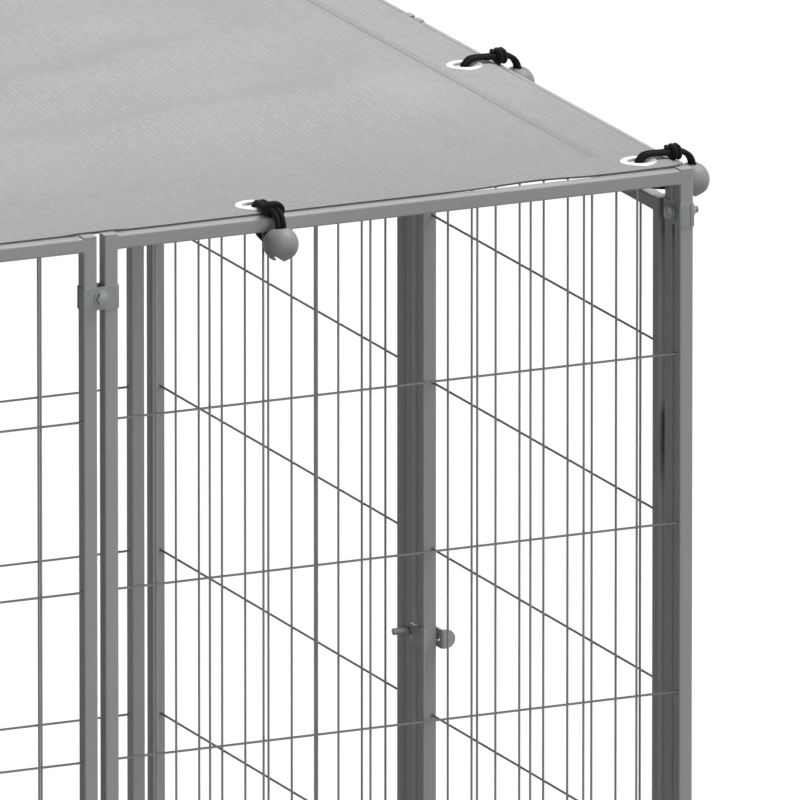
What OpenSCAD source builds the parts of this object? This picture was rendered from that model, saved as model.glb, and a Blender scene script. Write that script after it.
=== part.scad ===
// Outdoor dog kennel run: square tube panels with welded wire, a hinged door with a sliding
// fork latch, bolted sheet clamps and a fabric roof held down by ball ties.
// Millimetres. The origin is on the ground under the middle of the run, +Z is up,
// the front wall faces -Y and the wall with the door faces +X.

/* [Panels] */
// Width of one wall panel over its posts
panel_w = 550; // [450:10:700]
// Height of one wall panel with its end caps
panel_h = 1100; // [1000:10:1300]
// Outside width of the square steel tube
tube = 12.5; // [11:0.5:16]
// Wall thickness of the tube
tube_wall = 1; // [0.8:0.1:1.2]
// Radius on the outer corners of the tube
tube_round = 1.5; // [1.4:0.1:2.5]
// Space between the posts of two neighbouring panels
panel_gap = 7; // [6.8:0.1:10]
// Thickness of the flange on a post's end cap
cap_t = 1; // [0.6:0.1:2]
// Length of the plug on an end cap
cap_plug = 10; // [5:1:15]

/* [Wire mesh] */
// Diameter of the mesh wire
wire_d = 2; // [1.5:0.1:3]
// Distance between the upright wires
wire_pitch = 50; // [40:5:75]
// Distance between the cross wires
cross_pitch = 150; // [100:10:200]
// Depth of a panel's first cross wire below the top rail's upper face
panel_first_cross = 162; // [120:1:180]
// Depth of the door's first cross wire below the top rail's upper face
door_first_cross = 167; // [120:1:180]

/* [Clamps] */
// Height of a clamp half
clamp_h = 20; // [15:1:30]
// Sheet thickness of a clamp half
clamp_t = 1; // [0.8:0.1:1.2]
// Reach of the long flanges along the side of a post
long_flange = 8; // [6:0.2:8]
// Reach of the short flanges along the side of a post
short_flange = 2.8; // [2:0.2:2.8]
// Depth of the clamps in the middle of a wall below the top rail's upper face
joint_drop = 53.5; // [40:0.5:80]
// Depth of the clamps at the corners below the top rail's upper face
corner_drop = 40; // [30:0.5:60]
// Height of the lower clamps above the posts' lower ends
foot_rise = 62; // [50:0.5:90]
// Outer radius of the bends in a clamp half
clamp_bend = 2; // [1.4:0.1:2]
// Diameter of the clamp bolts
bolt_d = 6; // [5:0.5:6]
// Width across the flats of bolt head and nut
bolt_flats = 10; // [8:0.5:11]
// Height of the bolt head
bolt_head_h = 4; // [3:0.5:5]
// Height of the nut
nut_h = 5; // [4:0.5:6]
// Diameter of the round flange under bolt head and nut
bolt_flange_d = 14.5; // [12:0.5:15]
// Thickness of that flange
bolt_flange_t = 1.2; // [0.8:0.1:1.6]
// Length of thread that stands out of the nut
bolt_tail = 4; // [2:0.5:6]

/* [Door] */
// Space on each side between the door leaf and its panel's posts
door_gap = 12.5; // [11:0.5:16]
// Space above the door leaf
door_top_gap = 22; // [21:1:40]
// Space below the door leaf
door_bottom_gap = 22; // [10:1:40]
// Distance of the hinges from the ends of the door leaf
hinge_inset = 180; // [120:5:300]
// Height of one hinge knuckle
knuckle_h = 24; // [18:1:40]
// Diameter of the hinge pin
hinge_pin_d = 6; // [4:0.5:7]
// Thickness of the hinge leaf plates
hinge_leaf_t = 2.5; // [2:0.1:3]
// Reach of the hinge leaf plates over the tube
hinge_leaf_w = 11; // [8:0.5:11]
// Space between a hinge barrel and the tube beside it
barrel_gap = 0.5; // [0.3:0.1:1]

/* [Latch] */
// Height of the latch's centre line above the ground
latch_z = 552; // [500:1:600]
// Height of the latch slider
latch_h = 17; // [15:0.5:20]
// Sheet thickness of the latch slider
latch_t = 2; // [1.5:0.1:2.5]
// Length of the finger tab
tab_len = 11; // [10:0.5:20]
// Sheet left between the guide slot and the finger tab
slot_land = 4; // [3:0.5:8]
// Diameter of the keeper pin
keeper_d = 6; // [5:0.5:6]
// Length of the keeper pin
keeper_len = 15; // [12:0.5:18]
// Diameter of the guide rivet
rivet_d = 5; // [4:0.5:6]
// Outer radius of the bend between outer leg and finger tab
tab_bend = 3; // [2.5:0.1:3.5]
// Diameter of the guide rivet's head
rivet_head_d = 9; // [8:0.5:11]
// Thickness of the guide rivet's head
rivet_head_t = 1.5; // [1:0.1:2]

/* [Roof] */
// Thickness of the roof fabric
roof_t = 1; // [0.6:0.1:1.4]
// Thickness of the doubled hem
hem_t = 1.6; // [1.5:0.1:2]
// Width of the hem
hem_w = 55; // [53:1:80]
// Distance of the roof's side edges from the outer faces of the walls
roof_side_in = 8; // [5:0.5:11]
// Distance of the roof's front and back edges from the outer faces of the walls
roof_front_in = 11; // [5:0.5:11]
// Outside diameter of a grommet
grommet_d = 32; // [28:1:34]
// Diameter of the hole in a grommet
grommet_hole = 20; // [19:0.5:22]
// Sheet thickness of a grommet
grommet_t = 1; // [0.8:0.1:1.2]
// Distance of the grommets from the outer faces of the walls
grommet_in = 35.5; // [34.5:0.5:37]
// Distance of the second grommet from the end of a wall
grommet_second = 396; // [300:2:480]

/* [Ties] */
// Diameter of the elastic cord
cord_d = 5; // [4:0.2:5]
// Diameter of the plastic ball
ball_d = 30.5; // [29:0.5:32]
// Wall thickness of the ball
ball_wall = 2.5; // [2:0.1:3]
// Width of the V notches round the mouth of the ball
ball_notch = 8; // [6:0.5:9]
// Diameter of the mouth at the bottom of the ball
ball_mouth = 12; // [10:0.5:13]
// Depth of the ball's centre below the top rail's upper face
ball_drop = 19.5; // [18:0.5:20]
// Thickness of the turns of cord that hitch the two strands
hitch_d = 4.2; // [3:0.1:4.2]

/* [Hidden] */
$fn = 48;
// Radial clearance of parts that turn or slide in each other
run_gap = 0.05;
// Clearance of parts that are fixed in each other
fit_gap = 0.05;
// Clearance between sheet parts that slide past each other
slide_gap = 0.3;

// Overall layout: each wall starts one tube and one gap in from its corner, like a pinwheel
side = 2 * panel_w + 2 * panel_gap + tube;
half = side / 2;
wall_start = tube + panel_gap - half;
second_panel = wall_start + panel_w + panel_gap;
rail_top = panel_h - cap_t;
rail_len = panel_w - 2 * tube;
FRONT = 0;
RIGHT = 1;
BACK = 2;
LEFT = 3;

// Door leaf inside the first panel of the right wall
door_x = wall_start + tube + door_gap;
door_w = rail_len - 2 * door_gap;
door_low = cap_t + tube + door_bottom_gap;
door_high = rail_top - tube - door_top_gap;
hinge_x = wall_start + tube + door_gap / 2;
barrel_d = door_gap - 2 * barrel_gap;
hinge_levels = [door_low + hinge_inset, door_high - hinge_inset - 2 * knuckle_h];

// Latch: the slider rides on the door's free stile and reaches for the panel's rear post
stile_x = door_x + door_w - tube;
post_x = wall_start + panel_w - tube;
latch_rear_gap = 0.6;
fork_tip_gap = 0.8;
latch_travel = door_gap - latch_t - slide_gap - latch_rear_gap;
rivet_x = stile_x + tube / 2;
keeper_x = post_x + tube / 2;
slot_front = rivet_x - latch_travel - rivet_d / 2 - slide_gap;
leg_front = slot_front - slot_land;
web_x = stile_x + tube + slide_gap;
fork_tip = post_x - fork_tip_gap;

// Clamps: the joint between two panels and the joint round the corner look alike
clamp_w = 2 * tube + panel_gap + 2 * clamp_t;
corner_x = wall_start - panel_gap / 2;
middle_x = second_panel - panel_gap / 2;
bolt_hole_d = bolt_d + 0.6;
shank_len = tube + 2 * clamp_t + 2 * bolt_flange_t + nut_h + bolt_tail;

// Roof ties
roof_x = side - 2 * roof_side_in;
roof_y = side - 2 * roof_front_in;
tie_places = [grommet_in - half, grommet_second - half, half - grommet_second];
barrel_out = grommet_hole / 2 + grommet_t;
ball_gap = 0.75;
tie_shift = 2.5;
strand_x = cord_d / 2 + 0.1;
ball_y = -ball_d / 2 - ball_gap;
ball_z = rail_top - ball_drop;
cord_sides = 8;
hitch_y = 0.7;
hitch_height = 7;
hitch_r = cord_d / 2 + hitch_d / 2 + fit_gap;
// Way of one strand across the wall: inwards from the outer face, up from the top rail's upper face
cord_route = [[-16, -9], [-15.2, -2], [-11, 4], [-4, 7], [5, 7], [14, 7.2], [23, 7.4], [30, 6], [34.5, 0],
    [34.5, -7], [31.5, -14], [25, -19.5], [14, -22], [3, -22], [-7, -21]];

// Frame of one wall: x along the wall, y inwards from its outer face, z up
module on_wall(wall) {
    rotate([0, 0, 90 * wall]) translate([0, -half, 0]) children();
}

module rounded_square(width, radius) {
    translate([radius, 0]) square([width - 2 * radius, width]);
    translate([0, radius]) square([width, width - 2 * radius]);
    for (x = [radius, width - radius], y = [radius, width - radius])
        translate([x, y]) circle(radius);
}

module tube_section() {
    difference() {
        rounded_square(tube, tube_round);
        translate([tube_wall, tube_wall]) rounded_square(tube - 2 * tube_wall, tube_round - tube_wall);
    }
}

module upright(x, low, high) {
    translate([x, 0, low]) linear_extrude(high - low) tube_section();
}

module crossbar(x, z, length) {
    translate([x, 0, z]) rotate([90, 0, 90]) linear_extrude(length) tube_section();
}

// Posts, rails and wire of the panel that starts at x
module panel_posts(wall, x) {
    color("#8d9092") on_wall(wall) {
        upright(x, cap_t, rail_top);
        upright(x + panel_w - tube, cap_t, rail_top);
    }
}

module panel_rails(wall, x) {
    color("#8d9092") on_wall(wall) {
        crossbar(x + tube, cap_t, rail_len);
        crossbar(x + tube, rail_top - tube, rail_len);
    }
}

// Wire welded inside a frame: uprights in the middle of the tube, cross wires on their outer side
module wire_mesh(x, width, low, high, first_cross) {
    count = floor(width / wire_pitch);
    middle = x + width / 2;
    for (i = [0 : count - 1])
        translate([middle + (i - (count - 1) / 2) * wire_pitch, tube / 2, low]) cylinder(d = wire_d, h = high - low);
    for (z = [rail_top - first_cross : -cross_pitch : low + wire_d])
        translate([x, tube / 2 - wire_d - fit_gap, z]) rotate([0, 90, 0]) cylinder(d = wire_d, h = width);
}

module panel_mesh(wall, x) {
    color("#7c7f81") on_wall(wall)
        wire_mesh(x + tube, rail_len, cap_t + tube, rail_top - tube, panel_first_cross);
}

module door_stiles() {
    color("#8d9092") on_wall(RIGHT) {
        upright(door_x, door_low + cap_t, door_high - cap_t);
        difference() {
            upright(stile_x, door_low + cap_t, door_high - cap_t);
            translate([rivet_x, -1, latch_z]) rotate([-90, 0, 0]) cylinder(d = rivet_d + 2 * fit_gap, h = tube_wall + 2);
        }
    }
}

module door_rails() {
    color("#8d9092") on_wall(RIGHT)
        for (z = [door_low + cap_t, door_high - cap_t - tube])
            crossbar(door_x + tube, z, door_w - 2 * tube);
}

module door_mesh() {
    color("#7c7f81") on_wall(RIGHT)
        wire_mesh(door_x + tube, door_w - 2 * tube, door_low + cap_t + tube, door_high - cap_t - tube, door_first_cross);
}

// End cap with its flange on z = 0 and its plug pointing down
module end_cap() {
    plug_in = tube_wall + fit_gap;
    linear_extrude(cap_t) rounded_square(tube, tube_round);
    translate([plug_in, plug_in, -cap_plug])
        linear_extrude(cap_plug) rounded_square(tube - 2 * plug_in, tube_round - tube_wall);
}

module cap_pair(x, low, high) {
    translate([x, 0, high - cap_t]) end_cap();
    translate([x, tube, low + cap_t]) rotate([180, 0, 0]) end_cap();
}

module post_places() {
    for (wall = [FRONT : LEFT], x = [wall_start, second_panel], end = [0, panel_w - tube])
        on_wall(wall) translate([x + end, 0, 0]) children();
}

module post_caps() {
    color("#7f8284") post_places() translate([0, 0, rail_top]) end_cap();
}

module foot_caps() {
    color("#7f8284") post_places() translate([0, tube, cap_t]) rotate([180, 0, 0]) end_cap();
}

module door_caps() {
    color("#7f8284") on_wall(RIGHT)
        for (x = [door_x, stile_x])
            cap_pair(x, door_low, door_high);
}

// Hinge knuckle round the pin's axis, with its leaf on the outer face of a tube
module hinge_knuckle(direction, bore_d) {
    leaf_len = door_gap / 2 + hinge_leaf_w;
    difference() {
        union() {
            cylinder(d = barrel_d, h = knuckle_h);
            translate([direction < 0 ? -leaf_len : 0, -hinge_leaf_t, 0]) cube([leaf_len, hinge_leaf_t, knuckle_h]);
        }
        translate([0, 0, -1]) cylinder(d = bore_d, h = knuckle_h + 2);
    }
}

module at_hinges() {
    on_wall(RIGHT)
        for (z = hinge_levels)
            translate([hinge_x, 0, z]) children();
}

module hinge_frame_knuckles() {
    color("#808488") at_hinges() hinge_knuckle(-1, hinge_pin_d + 2 * fit_gap);
}

module hinge_door_knuckles() {
    color("#808488") at_hinges()
        translate([0, 0, knuckle_h + slide_gap]) hinge_knuckle(1, hinge_pin_d + 2 * run_gap);
}

module hinge_pins() {
    color("#a9adb0") at_hinges() cylinder(d = hinge_pin_d, h = 2 * knuckle_h + slide_gap);
}

// Sheet of the latch slider seen from above: tab, outer leg, web through the gap, inner leg
module slider_plan() {
    outer = -slide_gap - latch_t;
    inner = tube + slide_gap;
    bend_x = leg_front + tab_bend;
    bend_y = outer + latch_t - tab_bend;
    translate([bend_x, outer]) square([web_x + latch_t - bend_x, latch_t]);
    translate([leg_front, outer - tab_len]) square([latch_t, tab_len + latch_t - tab_bend]);
    intersection() {
        translate([leg_front, bend_y]) square(tab_bend);
        translate([bend_x, bend_y]) difference() {
            circle(tab_bend);
            circle(tab_bend - latch_t);
        }
    }
    translate([web_x, outer]) square([latch_t, inner + latch_t - outer]);
    translate([leg_front + tab_bend, inner]) square([fork_tip - leg_front - tab_bend, latch_t]);
}

// Slot along the wall that cuts through everything between two depths
module long_slot(x_from, x_to, radius, depth_from, depth_to) {
    depth = depth_to - depth_from;
    for (x = [x_from, x_to])
        translate([x, depth_from, latch_z]) rotate([-90, 0, 0]) cylinder(r = radius, h = depth);
    translate([x_from, depth_from, latch_z - radius]) cube([x_to - x_from, depth, 2 * radius]);
}

module latch_slider() {
    tip = -slide_gap - latch_t - tab_len;
    round_r = latch_h / 2;
    rivet_slot_r = rivet_d / 2 + slide_gap;
    keeper_slot_r = keeper_d / 2 + slide_gap;
    fork_x = keeper_x - latch_travel;
    color("#74797c") on_wall(RIGHT) difference() {
        translate([0, 0, latch_z - latch_h / 2]) linear_extrude(latch_h) slider_plan();
        // Round end of the finger tab
        difference() {
            translate([leg_front - 1, tip - 1, latch_z - latch_h]) cube([latch_t + 2, round_r + 1, 2 * latch_h]);
            translate([leg_front - 2, tip + round_r, latch_z]) rotate([0, 90, 0]) cylinder(r = round_r, h = latch_t + 4);
        }
        // Guide slot for the rivet in the outer leg
        long_slot(rivet_x - latch_travel, rivet_x, rivet_slot_r, -slide_gap - latch_t - 1, 1);
        // Fork that closes round the keeper pin
        long_slot(fork_x, fork_x + 2 * keeper_d, keeper_slot_r, tube - 1, tube + slide_gap + latch_t + 1);
    }
}

// Blind rivet: head outside the slider, swollen end inside the stile
module latch_guide_rivet() {
    grip = latch_t + 2 * slide_gap + tube_wall + fit_gap;
    color("#a9adb0") on_wall(RIGHT)
        translate([rivet_x, -latch_t - 2 * slide_gap, latch_z]) rotate([-90, 0, 0]) {
            translate([0, 0, -rivet_head_t]) cylinder(d = rivet_head_d, h = rivet_head_t);
            cylinder(d = rivet_d, h = grip);
            translate([0, 0, grip]) cylinder(d = (rivet_d + rivet_head_d) / 2, h = rivet_head_t);
        }
}

module latch_keeper_pin() {
    color("#a9adb0") on_wall(RIGHT)
        translate([keeper_x, tube, latch_z]) rotate([-90, 0, 0]) cylinder(d = keeper_d, h = keeper_len);
}

// Outline of a clamp half: a flat sheet on the outer side of y = 0 and two flanges round the posts
module clamp_outline(width, radius, depth) {
    translate([-width / 2, radius]) square([width, depth - radius]);
    translate([radius - width / 2, 0]) square([width - 2 * radius, radius]);
    for (side = [-1, 1])
        translate([side * (width / 2 - radius), radius]) circle(radius);
}

module clamp_half(flange) {
    difference() {
        translate([0, 0, -clamp_h / 2]) linear_extrude(clamp_h) difference() {
            translate([0, -clamp_t]) clamp_outline(clamp_w, clamp_bend, clamp_t + flange);
            clamp_outline(clamp_w - 2 * clamp_t, clamp_bend - clamp_t, flange + 1);
        }
        translate([0, 1, 0]) rotate([90, 0, 0]) cylinder(d = bolt_hole_d, h = clamp_t + 2);
    }
}

// All clamp places: a middle clamp has its bolt head outside, a corner clamp its nut
module at_middle_clamps() {
    for (wall = [FRONT : LEFT], z = [rail_top - joint_drop, cap_t + foot_rise])
        on_wall(wall) translate([middle_x, 0, z]) children();
}

module at_corner_clamps() {
    for (wall = [FRONT : LEFT], z = [rail_top - corner_drop, cap_t + foot_rise])
        on_wall(wall) translate([corner_x, 0, z]) children();
}

// Turns a piece made for the outer side of the posts to their inner side
module inner_side() {
    translate([0, tube, 0]) rotate([0, 0, 180]) children();
}

module clamp_outer_halves() {
    color("#838885") {
        at_middle_clamps() clamp_half(long_flange);
        at_corner_clamps() clamp_half(short_flange);
    }
}

module clamp_inner_halves() {
    color("#838885") {
        at_middle_clamps() inner_side() clamp_half(short_flange);
        at_corner_clamps() inner_side() clamp_half(long_flange);
    }
}

module hexagon(height) {
    cylinder(d = bolt_flats / cos(30), h = height, $fn = 6);
}

// Flange bolt that comes through the clamp from outside
module bolt() {
    translate([0, -clamp_t, 0]) rotate([-90, 0, 0]) {
        cylinder(d = bolt_d, h = shank_len - bolt_flange_t);
        translate([0, 0, -bolt_flange_t]) cylinder(d = bolt_flange_d, h = bolt_flange_t);
        translate([0, 0, -bolt_flange_t - bolt_head_h]) hexagon(bolt_head_h);
    }
}

module nut() {
    translate([0, tube + clamp_t, 0]) rotate([-90, 0, 0]) difference() {
        union() {
            cylinder(d = bolt_flange_d, h = bolt_flange_t);
            translate([0, 0, bolt_flange_t]) hexagon(nut_h);
        }
        translate([0, 0, -1]) cylinder(d = bolt_d + 2 * fit_gap, h = bolt_flange_t + nut_h + 2);
    }
}

module clamp_bolts() {
    color("#9a9ea0") {
        at_middle_clamps() bolt();
        at_corner_clamps() inner_side() bolt();
    }
}

module clamp_nuts() {
    color("#9a9ea0") {
        at_middle_clamps() nut();
        at_corner_clamps() inner_side() nut();
    }
}

module at_ties() {
    for (wall = [FRONT : LEFT], x = tie_places)
        on_wall(wall) translate([x, 0, 0]) children();
}

module roof_outline(inset) {
    square([roof_x - 2 * inset, roof_y - 2 * inset], center = true);
}

module roof_sheet() {
    color("#b4b5b6") translate([0, 0, panel_h]) difference() {
        union() {
            linear_extrude(roof_t) roof_outline(0);
            linear_extrude(hem_t) difference() {
                roof_outline(0);
                roof_outline(hem_w);
            }
        }
        at_ties() translate([0, grommet_in, -1]) cylinder(r = barrel_out + fit_gap, h = hem_t + 2);
    }
}

// Eyelet: rolled flange on the roof and a barrel through it
module grommet_eyelets() {
    color("#e3e4e4") at_ties() translate([0, grommet_in, panel_h]) difference() {
        union() {
            translate([0, 0, -grommet_t]) cylinder(r = barrel_out, h = hem_t + grommet_t);
            translate([0, 0, hem_t]) cylinder(d = grommet_d, h = grommet_t);
        }
        translate([0, 0, -grommet_t - 1]) cylinder(d = grommet_hole, h = hem_t + 2 * grommet_t + 2);
    }
}

module grommet_washers() {
    color("#d3d5d6") at_ties() translate([0, grommet_in, panel_h - grommet_t]) difference() {
        cylinder(d = grommet_d, h = grommet_t);
        translate([0, 0, -1]) cylinder(r = barrel_out + fit_gap, h = grommet_t + 2);
    }
}

// Hollow ball: slot at the top for the two strands, open mouth below with V notches between
// its points, and a slot towards the rail where the loop hooks in
module tie_ball() {
    r = ball_d / 2;
    slot_x = 2 * strand_x + cord_d + 1;
    notch_r = r + 1;
    difference() {
        sphere(d = ball_d);
        sphere(d = ball_d - 2 * ball_wall);
        translate([0, 0, -r]) cylinder(d = ball_mouth, h = r);
        translate([-slot_x / 2, -cord_d, 0]) cube([slot_x, 2 * cord_d, r]);
        translate([-slot_x / 2, 0, -r]) cube([slot_x, r, r + cord_d / 2]);
        for (angle = [45 : 90 : 315])
            rotate([0, 0, angle]) rotate([90, 0, 90]) linear_extrude(notch_r)
                polygon([[-ball_notch / 2, -notch_r], [ball_notch / 2, -notch_r], [0, -r / 2]]);
    }
}

module bungee_balls() {
    color("#8a8b8c") at_ties() translate([tie_shift, ball_y, ball_z]) tie_ball();
}

// Ring of points round the strand at one point of its way
function strand_ring(i) =
    let (last = len(cord_route) - 1,
        way = cord_route[min(i + 1, last)] - cord_route[max(i - 1, 0)],
        across = [-way[1], way[0]] / norm(way),
        at = cord_route[i])
    [for (k = [0 : cord_sides - 1])
        let (turn = 360 * k / cord_sides, out = cord_d / 2 * sin(turn))
        [cord_d / 2 * cos(turn), at[0] + across[0] * out, at[1] + across[1] * out]];

module strand() {
    rings = len(cord_route);
    points = [for (i = [0 : rings - 1]) each strand_ring(i)];
    walls = [for (i = [0 : rings - 2], k = [0 : cord_sides - 1])
        let (a = i * cord_sides + k, b = i * cord_sides + (k + 1) % cord_sides)
        each [[a, b, b + cord_sides], [a, b + cord_sides, a + cord_sides]]];
    last_ring = (rings - 1) * cord_sides;
    ends = [for (k = [1 : cord_sides - 2])
        each [[0, k + 1, k], [last_ring, last_ring + k, last_ring + k + 1]]];
    polyhedron(points, concat(walls, ends), convexity = 6);
}

module bungee_cords() {
    color("#1d1d1e") at_ties()
        for (x = [-strand_x, strand_x])
            translate([tie_shift + x, 0, rail_top]) strand();
}

// Turn of cord round both strands: two half rings joined by straight runs
module hitch_turn() {
    for (end = [0, 1])
        mirror([end, 0, 0]) translate([strand_x, 0, 0]) rotate([90, 0, 0]) rotate([0, 0, -90])
            rotate_extrude(angle = 180) translate([hitch_r, 0]) circle(d = hitch_d);
    for (z = [-hitch_r, hitch_r])
        translate([-strand_x, 0, z]) rotate([0, 90, 0]) cylinder(d = hitch_d, h = 2 * strand_x);
}

module bungee_hitches() {
    color("#1d1d1e") at_ties()
        for (side = [-1, 1])
            translate([tie_shift, hitch_y + side * (hitch_d / 2 + fit_gap), rail_top + hitch_height]) hitch_turn();
}

panel_posts(FRONT, wall_start);  // front_left_posts
panel_rails(FRONT, wall_start);  // front_left_rails
panel_mesh(FRONT, wall_start);  // front_left_mesh
panel_posts(FRONT, second_panel);  // front_right_posts
panel_rails(FRONT, second_panel);  // front_right_rails
panel_mesh(FRONT, second_panel);  // front_right_mesh
panel_posts(RIGHT, second_panel);  // right_rear_posts
panel_rails(RIGHT, second_panel);  // right_rear_rails
panel_mesh(RIGHT, second_panel);  // right_rear_mesh
panel_posts(BACK, wall_start);  // back_right_posts
panel_rails(BACK, wall_start);  // back_right_rails
panel_mesh(BACK, wall_start);  // back_right_mesh
panel_posts(BACK, second_panel);  // back_left_posts
panel_rails(BACK, second_panel);  // back_left_rails
panel_mesh(BACK, second_panel);  // back_left_mesh
panel_posts(LEFT, wall_start);  // left_rear_posts
panel_rails(LEFT, wall_start);  // left_rear_rails
panel_mesh(LEFT, wall_start);  // left_rear_mesh
panel_posts(LEFT, second_panel);  // left_front_posts
panel_rails(LEFT, second_panel);  // left_front_rails
panel_mesh(LEFT, second_panel);  // left_front_mesh
panel_posts(RIGHT, wall_start);  // door_panel_posts
panel_rails(RIGHT, wall_start);  // door_panel_rails
door_stiles();
door_rails();
door_mesh();
door_caps();
post_caps();
foot_caps();
hinge_frame_knuckles();
hinge_door_knuckles();
hinge_pins();
latch_slider();
latch_guide_rivet();
latch_keeper_pin();
clamp_outer_halves();
clamp_inner_halves();
clamp_bolts();
clamp_nuts();
roof_sheet();
grommet_eyelets();
grommet_washers();
bungee_balls();
bungee_cords();
bungee_hitches();
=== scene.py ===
"""Dresses the outdoor dog kennel run: finishes for the steel, a sewn roof sheet, grommets and ball ties."""

import math

import bmesh
import bpy
from bpy.props import FloatProperty, FloatVectorProperty, IntProperty, PointerProperty
from mathutils import Matrix, Vector


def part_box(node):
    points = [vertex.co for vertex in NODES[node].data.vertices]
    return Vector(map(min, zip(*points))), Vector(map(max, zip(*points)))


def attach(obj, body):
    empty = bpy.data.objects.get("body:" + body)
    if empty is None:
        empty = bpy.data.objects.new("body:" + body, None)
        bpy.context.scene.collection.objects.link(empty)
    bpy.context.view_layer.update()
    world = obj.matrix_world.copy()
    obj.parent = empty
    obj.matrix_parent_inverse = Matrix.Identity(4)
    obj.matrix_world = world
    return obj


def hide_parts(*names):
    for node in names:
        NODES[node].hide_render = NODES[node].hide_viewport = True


bl_info = {
    "name": "Kennel Run Dressing",
    "version": (1, 0, 0),
    "blender": (4, 5, 0),
    "location": "View3D > Sidebar > Kennel",
    "description": "Finishes, roof sheet, grommets and ball ties for a wire panel kennel run",
    "category": "Add Mesh",
}

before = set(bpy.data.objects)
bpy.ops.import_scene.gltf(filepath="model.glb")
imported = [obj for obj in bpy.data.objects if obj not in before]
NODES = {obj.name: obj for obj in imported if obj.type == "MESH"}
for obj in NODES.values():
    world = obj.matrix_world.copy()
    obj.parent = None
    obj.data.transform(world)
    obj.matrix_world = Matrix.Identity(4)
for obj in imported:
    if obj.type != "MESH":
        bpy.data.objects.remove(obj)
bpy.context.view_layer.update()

# Lengths are written in millimetres and brought to metres by the placing matrices
MM = 0.001
# Each panel's name, its wall (front, right, back, left) and its place on that wall
PANELS = (
    ("front_left", 0, 0),
    ("front_right", 0, 1),
    ("door_panel", 1, 0),
    ("right_rear", 1, 1),
    ("back_right", 2, 0),
    ("back_left", 2, 1),
    ("left_rear", 3, 0),
    ("left_front", 3, 1),
)
DOOR_WALL = 1
WALLS = range(4)
# Lengths that differ by less than this are the same
SNAP = 0.01


def mm(value):
    """A length in metres as millimetres, free of rounding."""
    return round(value / MM, 4)


# The frame's own places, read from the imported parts
POST_LOW, POST_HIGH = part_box("front_left_posts")
NEXT_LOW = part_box("front_right_posts")[0]
LEAF_LOW, LEAF_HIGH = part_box("door_stiles")
ROOF_LOW, ROOF_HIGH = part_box("roof_sheet")
PIN_LOW, PIN_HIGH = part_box("hinge_pins")
CLAMP_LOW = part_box("clamp_outer_halves")[0]
HALF = -mm(POST_LOW.y)
TUBE = mm(POST_HIGH.y - POST_LOW.y)
RAIL_TOP = mm(POST_HIGH.z)
FOOT = mm(POST_LOW.z)
STARTS = (mm(POST_LOW.x), mm(NEXT_LOW.x))
PANEL_W = mm(POST_HIGH.x - POST_LOW.x)
JOINT_X = (mm(POST_HIGH.x) + STARTS[1]) / 2
CORNER_X = -HALF + TUBE + (STARTS[1] - mm(POST_HIGH.x)) / 2
CLAMP = -mm(CLAMP_LOW.y) - HALF
ROOF_Z = mm(ROOF_LOW.z)
# Clear openings of the panels and of the door leaf, along the wall and in height
CLEAR_Z = (FOOT + TUBE, RAIL_TOP - TUBE)
LEAF_X = (mm(LEAF_LOW.y) + TUBE, mm(LEAF_HIGH.y) - TUBE)
LEAF_Z = (mm(LEAF_LOW.z) + TUBE, mm(LEAF_HIGH.z) - TUBE)
# Distance of the grommets from the nearest wall and of the inner ones from the corner, and the ties on a wall
GROMMET_IN = 35.5
TIE_IN = 396
TIES = (GROMMET_IN - HALF, TIE_IN - HALF, HALF - TIE_IN)
# Shift of a tie along the wall from its grommet, half the distance between its strands, and the ball's middle
TIE_SHIFT = 2.5
STRAND = 2.6
BALL_AT = (-16.0, -19.5)
# Way of one strand across the wall: inwards from the outer face, up from the top rail's upper face
CORD_ROUTE = (
    (-16, -9),
    (-15.2, -2),
    (-11, 4),
    (-4, 7),
    (5, 7),
    (14, 7.2),
    (23, 7.4),
    (30, 6),
    (34.5, 0),
    (34.5, -7),
    (31.5, -14),
    (25, -19.5),
    (14, -22),
    (3, -22),
    (-7, -21),
)


def linear(text):
    """Linear RGBA of an sRGB hex colour."""
    parts = [int(text[i : i + 2], 16) / 255 for i in (1, 3, 5)]
    bent = [p / 12.92 if p <= 0.04045 else ((p + 0.055) / 1.055) ** 2.4 for p in parts]
    return (*bent, 1.0)


def length(label, text, value):
    """A length in millimetres that a user may change."""
    return FloatProperty(name=label, description=text, default=value, min=0.0)


def colour(label, text, value):
    """A colour that a user may change, given as sRGB hex."""
    return FloatVectorProperty(
        name=label, description=text, default=linear(value), size=4, min=0.0, max=1.0, subtype="COLOR"
    )


def strength(label, text, value):
    """The strength of a light, which a user may change."""
    return FloatProperty(name=label, description=text, default=value, min=0.0)


def angle(label, text, degrees):
    """An angle that a user may change, given in degrees."""
    return FloatProperty(name=label, description=text, default=math.radians(degrees), subtype="ANGLE")


class FrameFinish(bpy.types.PropertyGroup):
    """Coats and weld sizes of the panels, the door and their wire."""

    tube_colour: colour("Tube", "Powder coat on posts, rails and door", "#a2a2a2")
    wire_colour: colour("Wire", "Coat on the welded wire", "#989898")
    cap_colour: colour("Caps", "Moulded end caps", "#9f9f9f")
    clamp_colour: colour("Clamps", "Pressed clamp halves", "#969c9a")
    latch_colour: colour("Latch", "Bent latch slider", "#abb0ae")
    zinc_colour: colour("Zinc", "Plated bolts, nuts and pins", "#929896")
    wire_pitch: length("Wire pitch", "Distance between upright wires in mm", 50.0)
    cross_pitch: length("Cross pitch", "Distance between cross wires in mm", 150.0)
    panel_first: length("First cross wire", "Depth of a panel's first cross wire in mm", 162.0)
    door_first: length("First door wire", "Depth of the door's first cross wire in mm", 167.0)
    nugget: length("Weld nugget", "Radius of the spot weld where wires cross in mm", 1.25)
    bead: length("Weld bead", "Radius of the weld bead where rail meets post in mm", 0.55)


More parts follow.
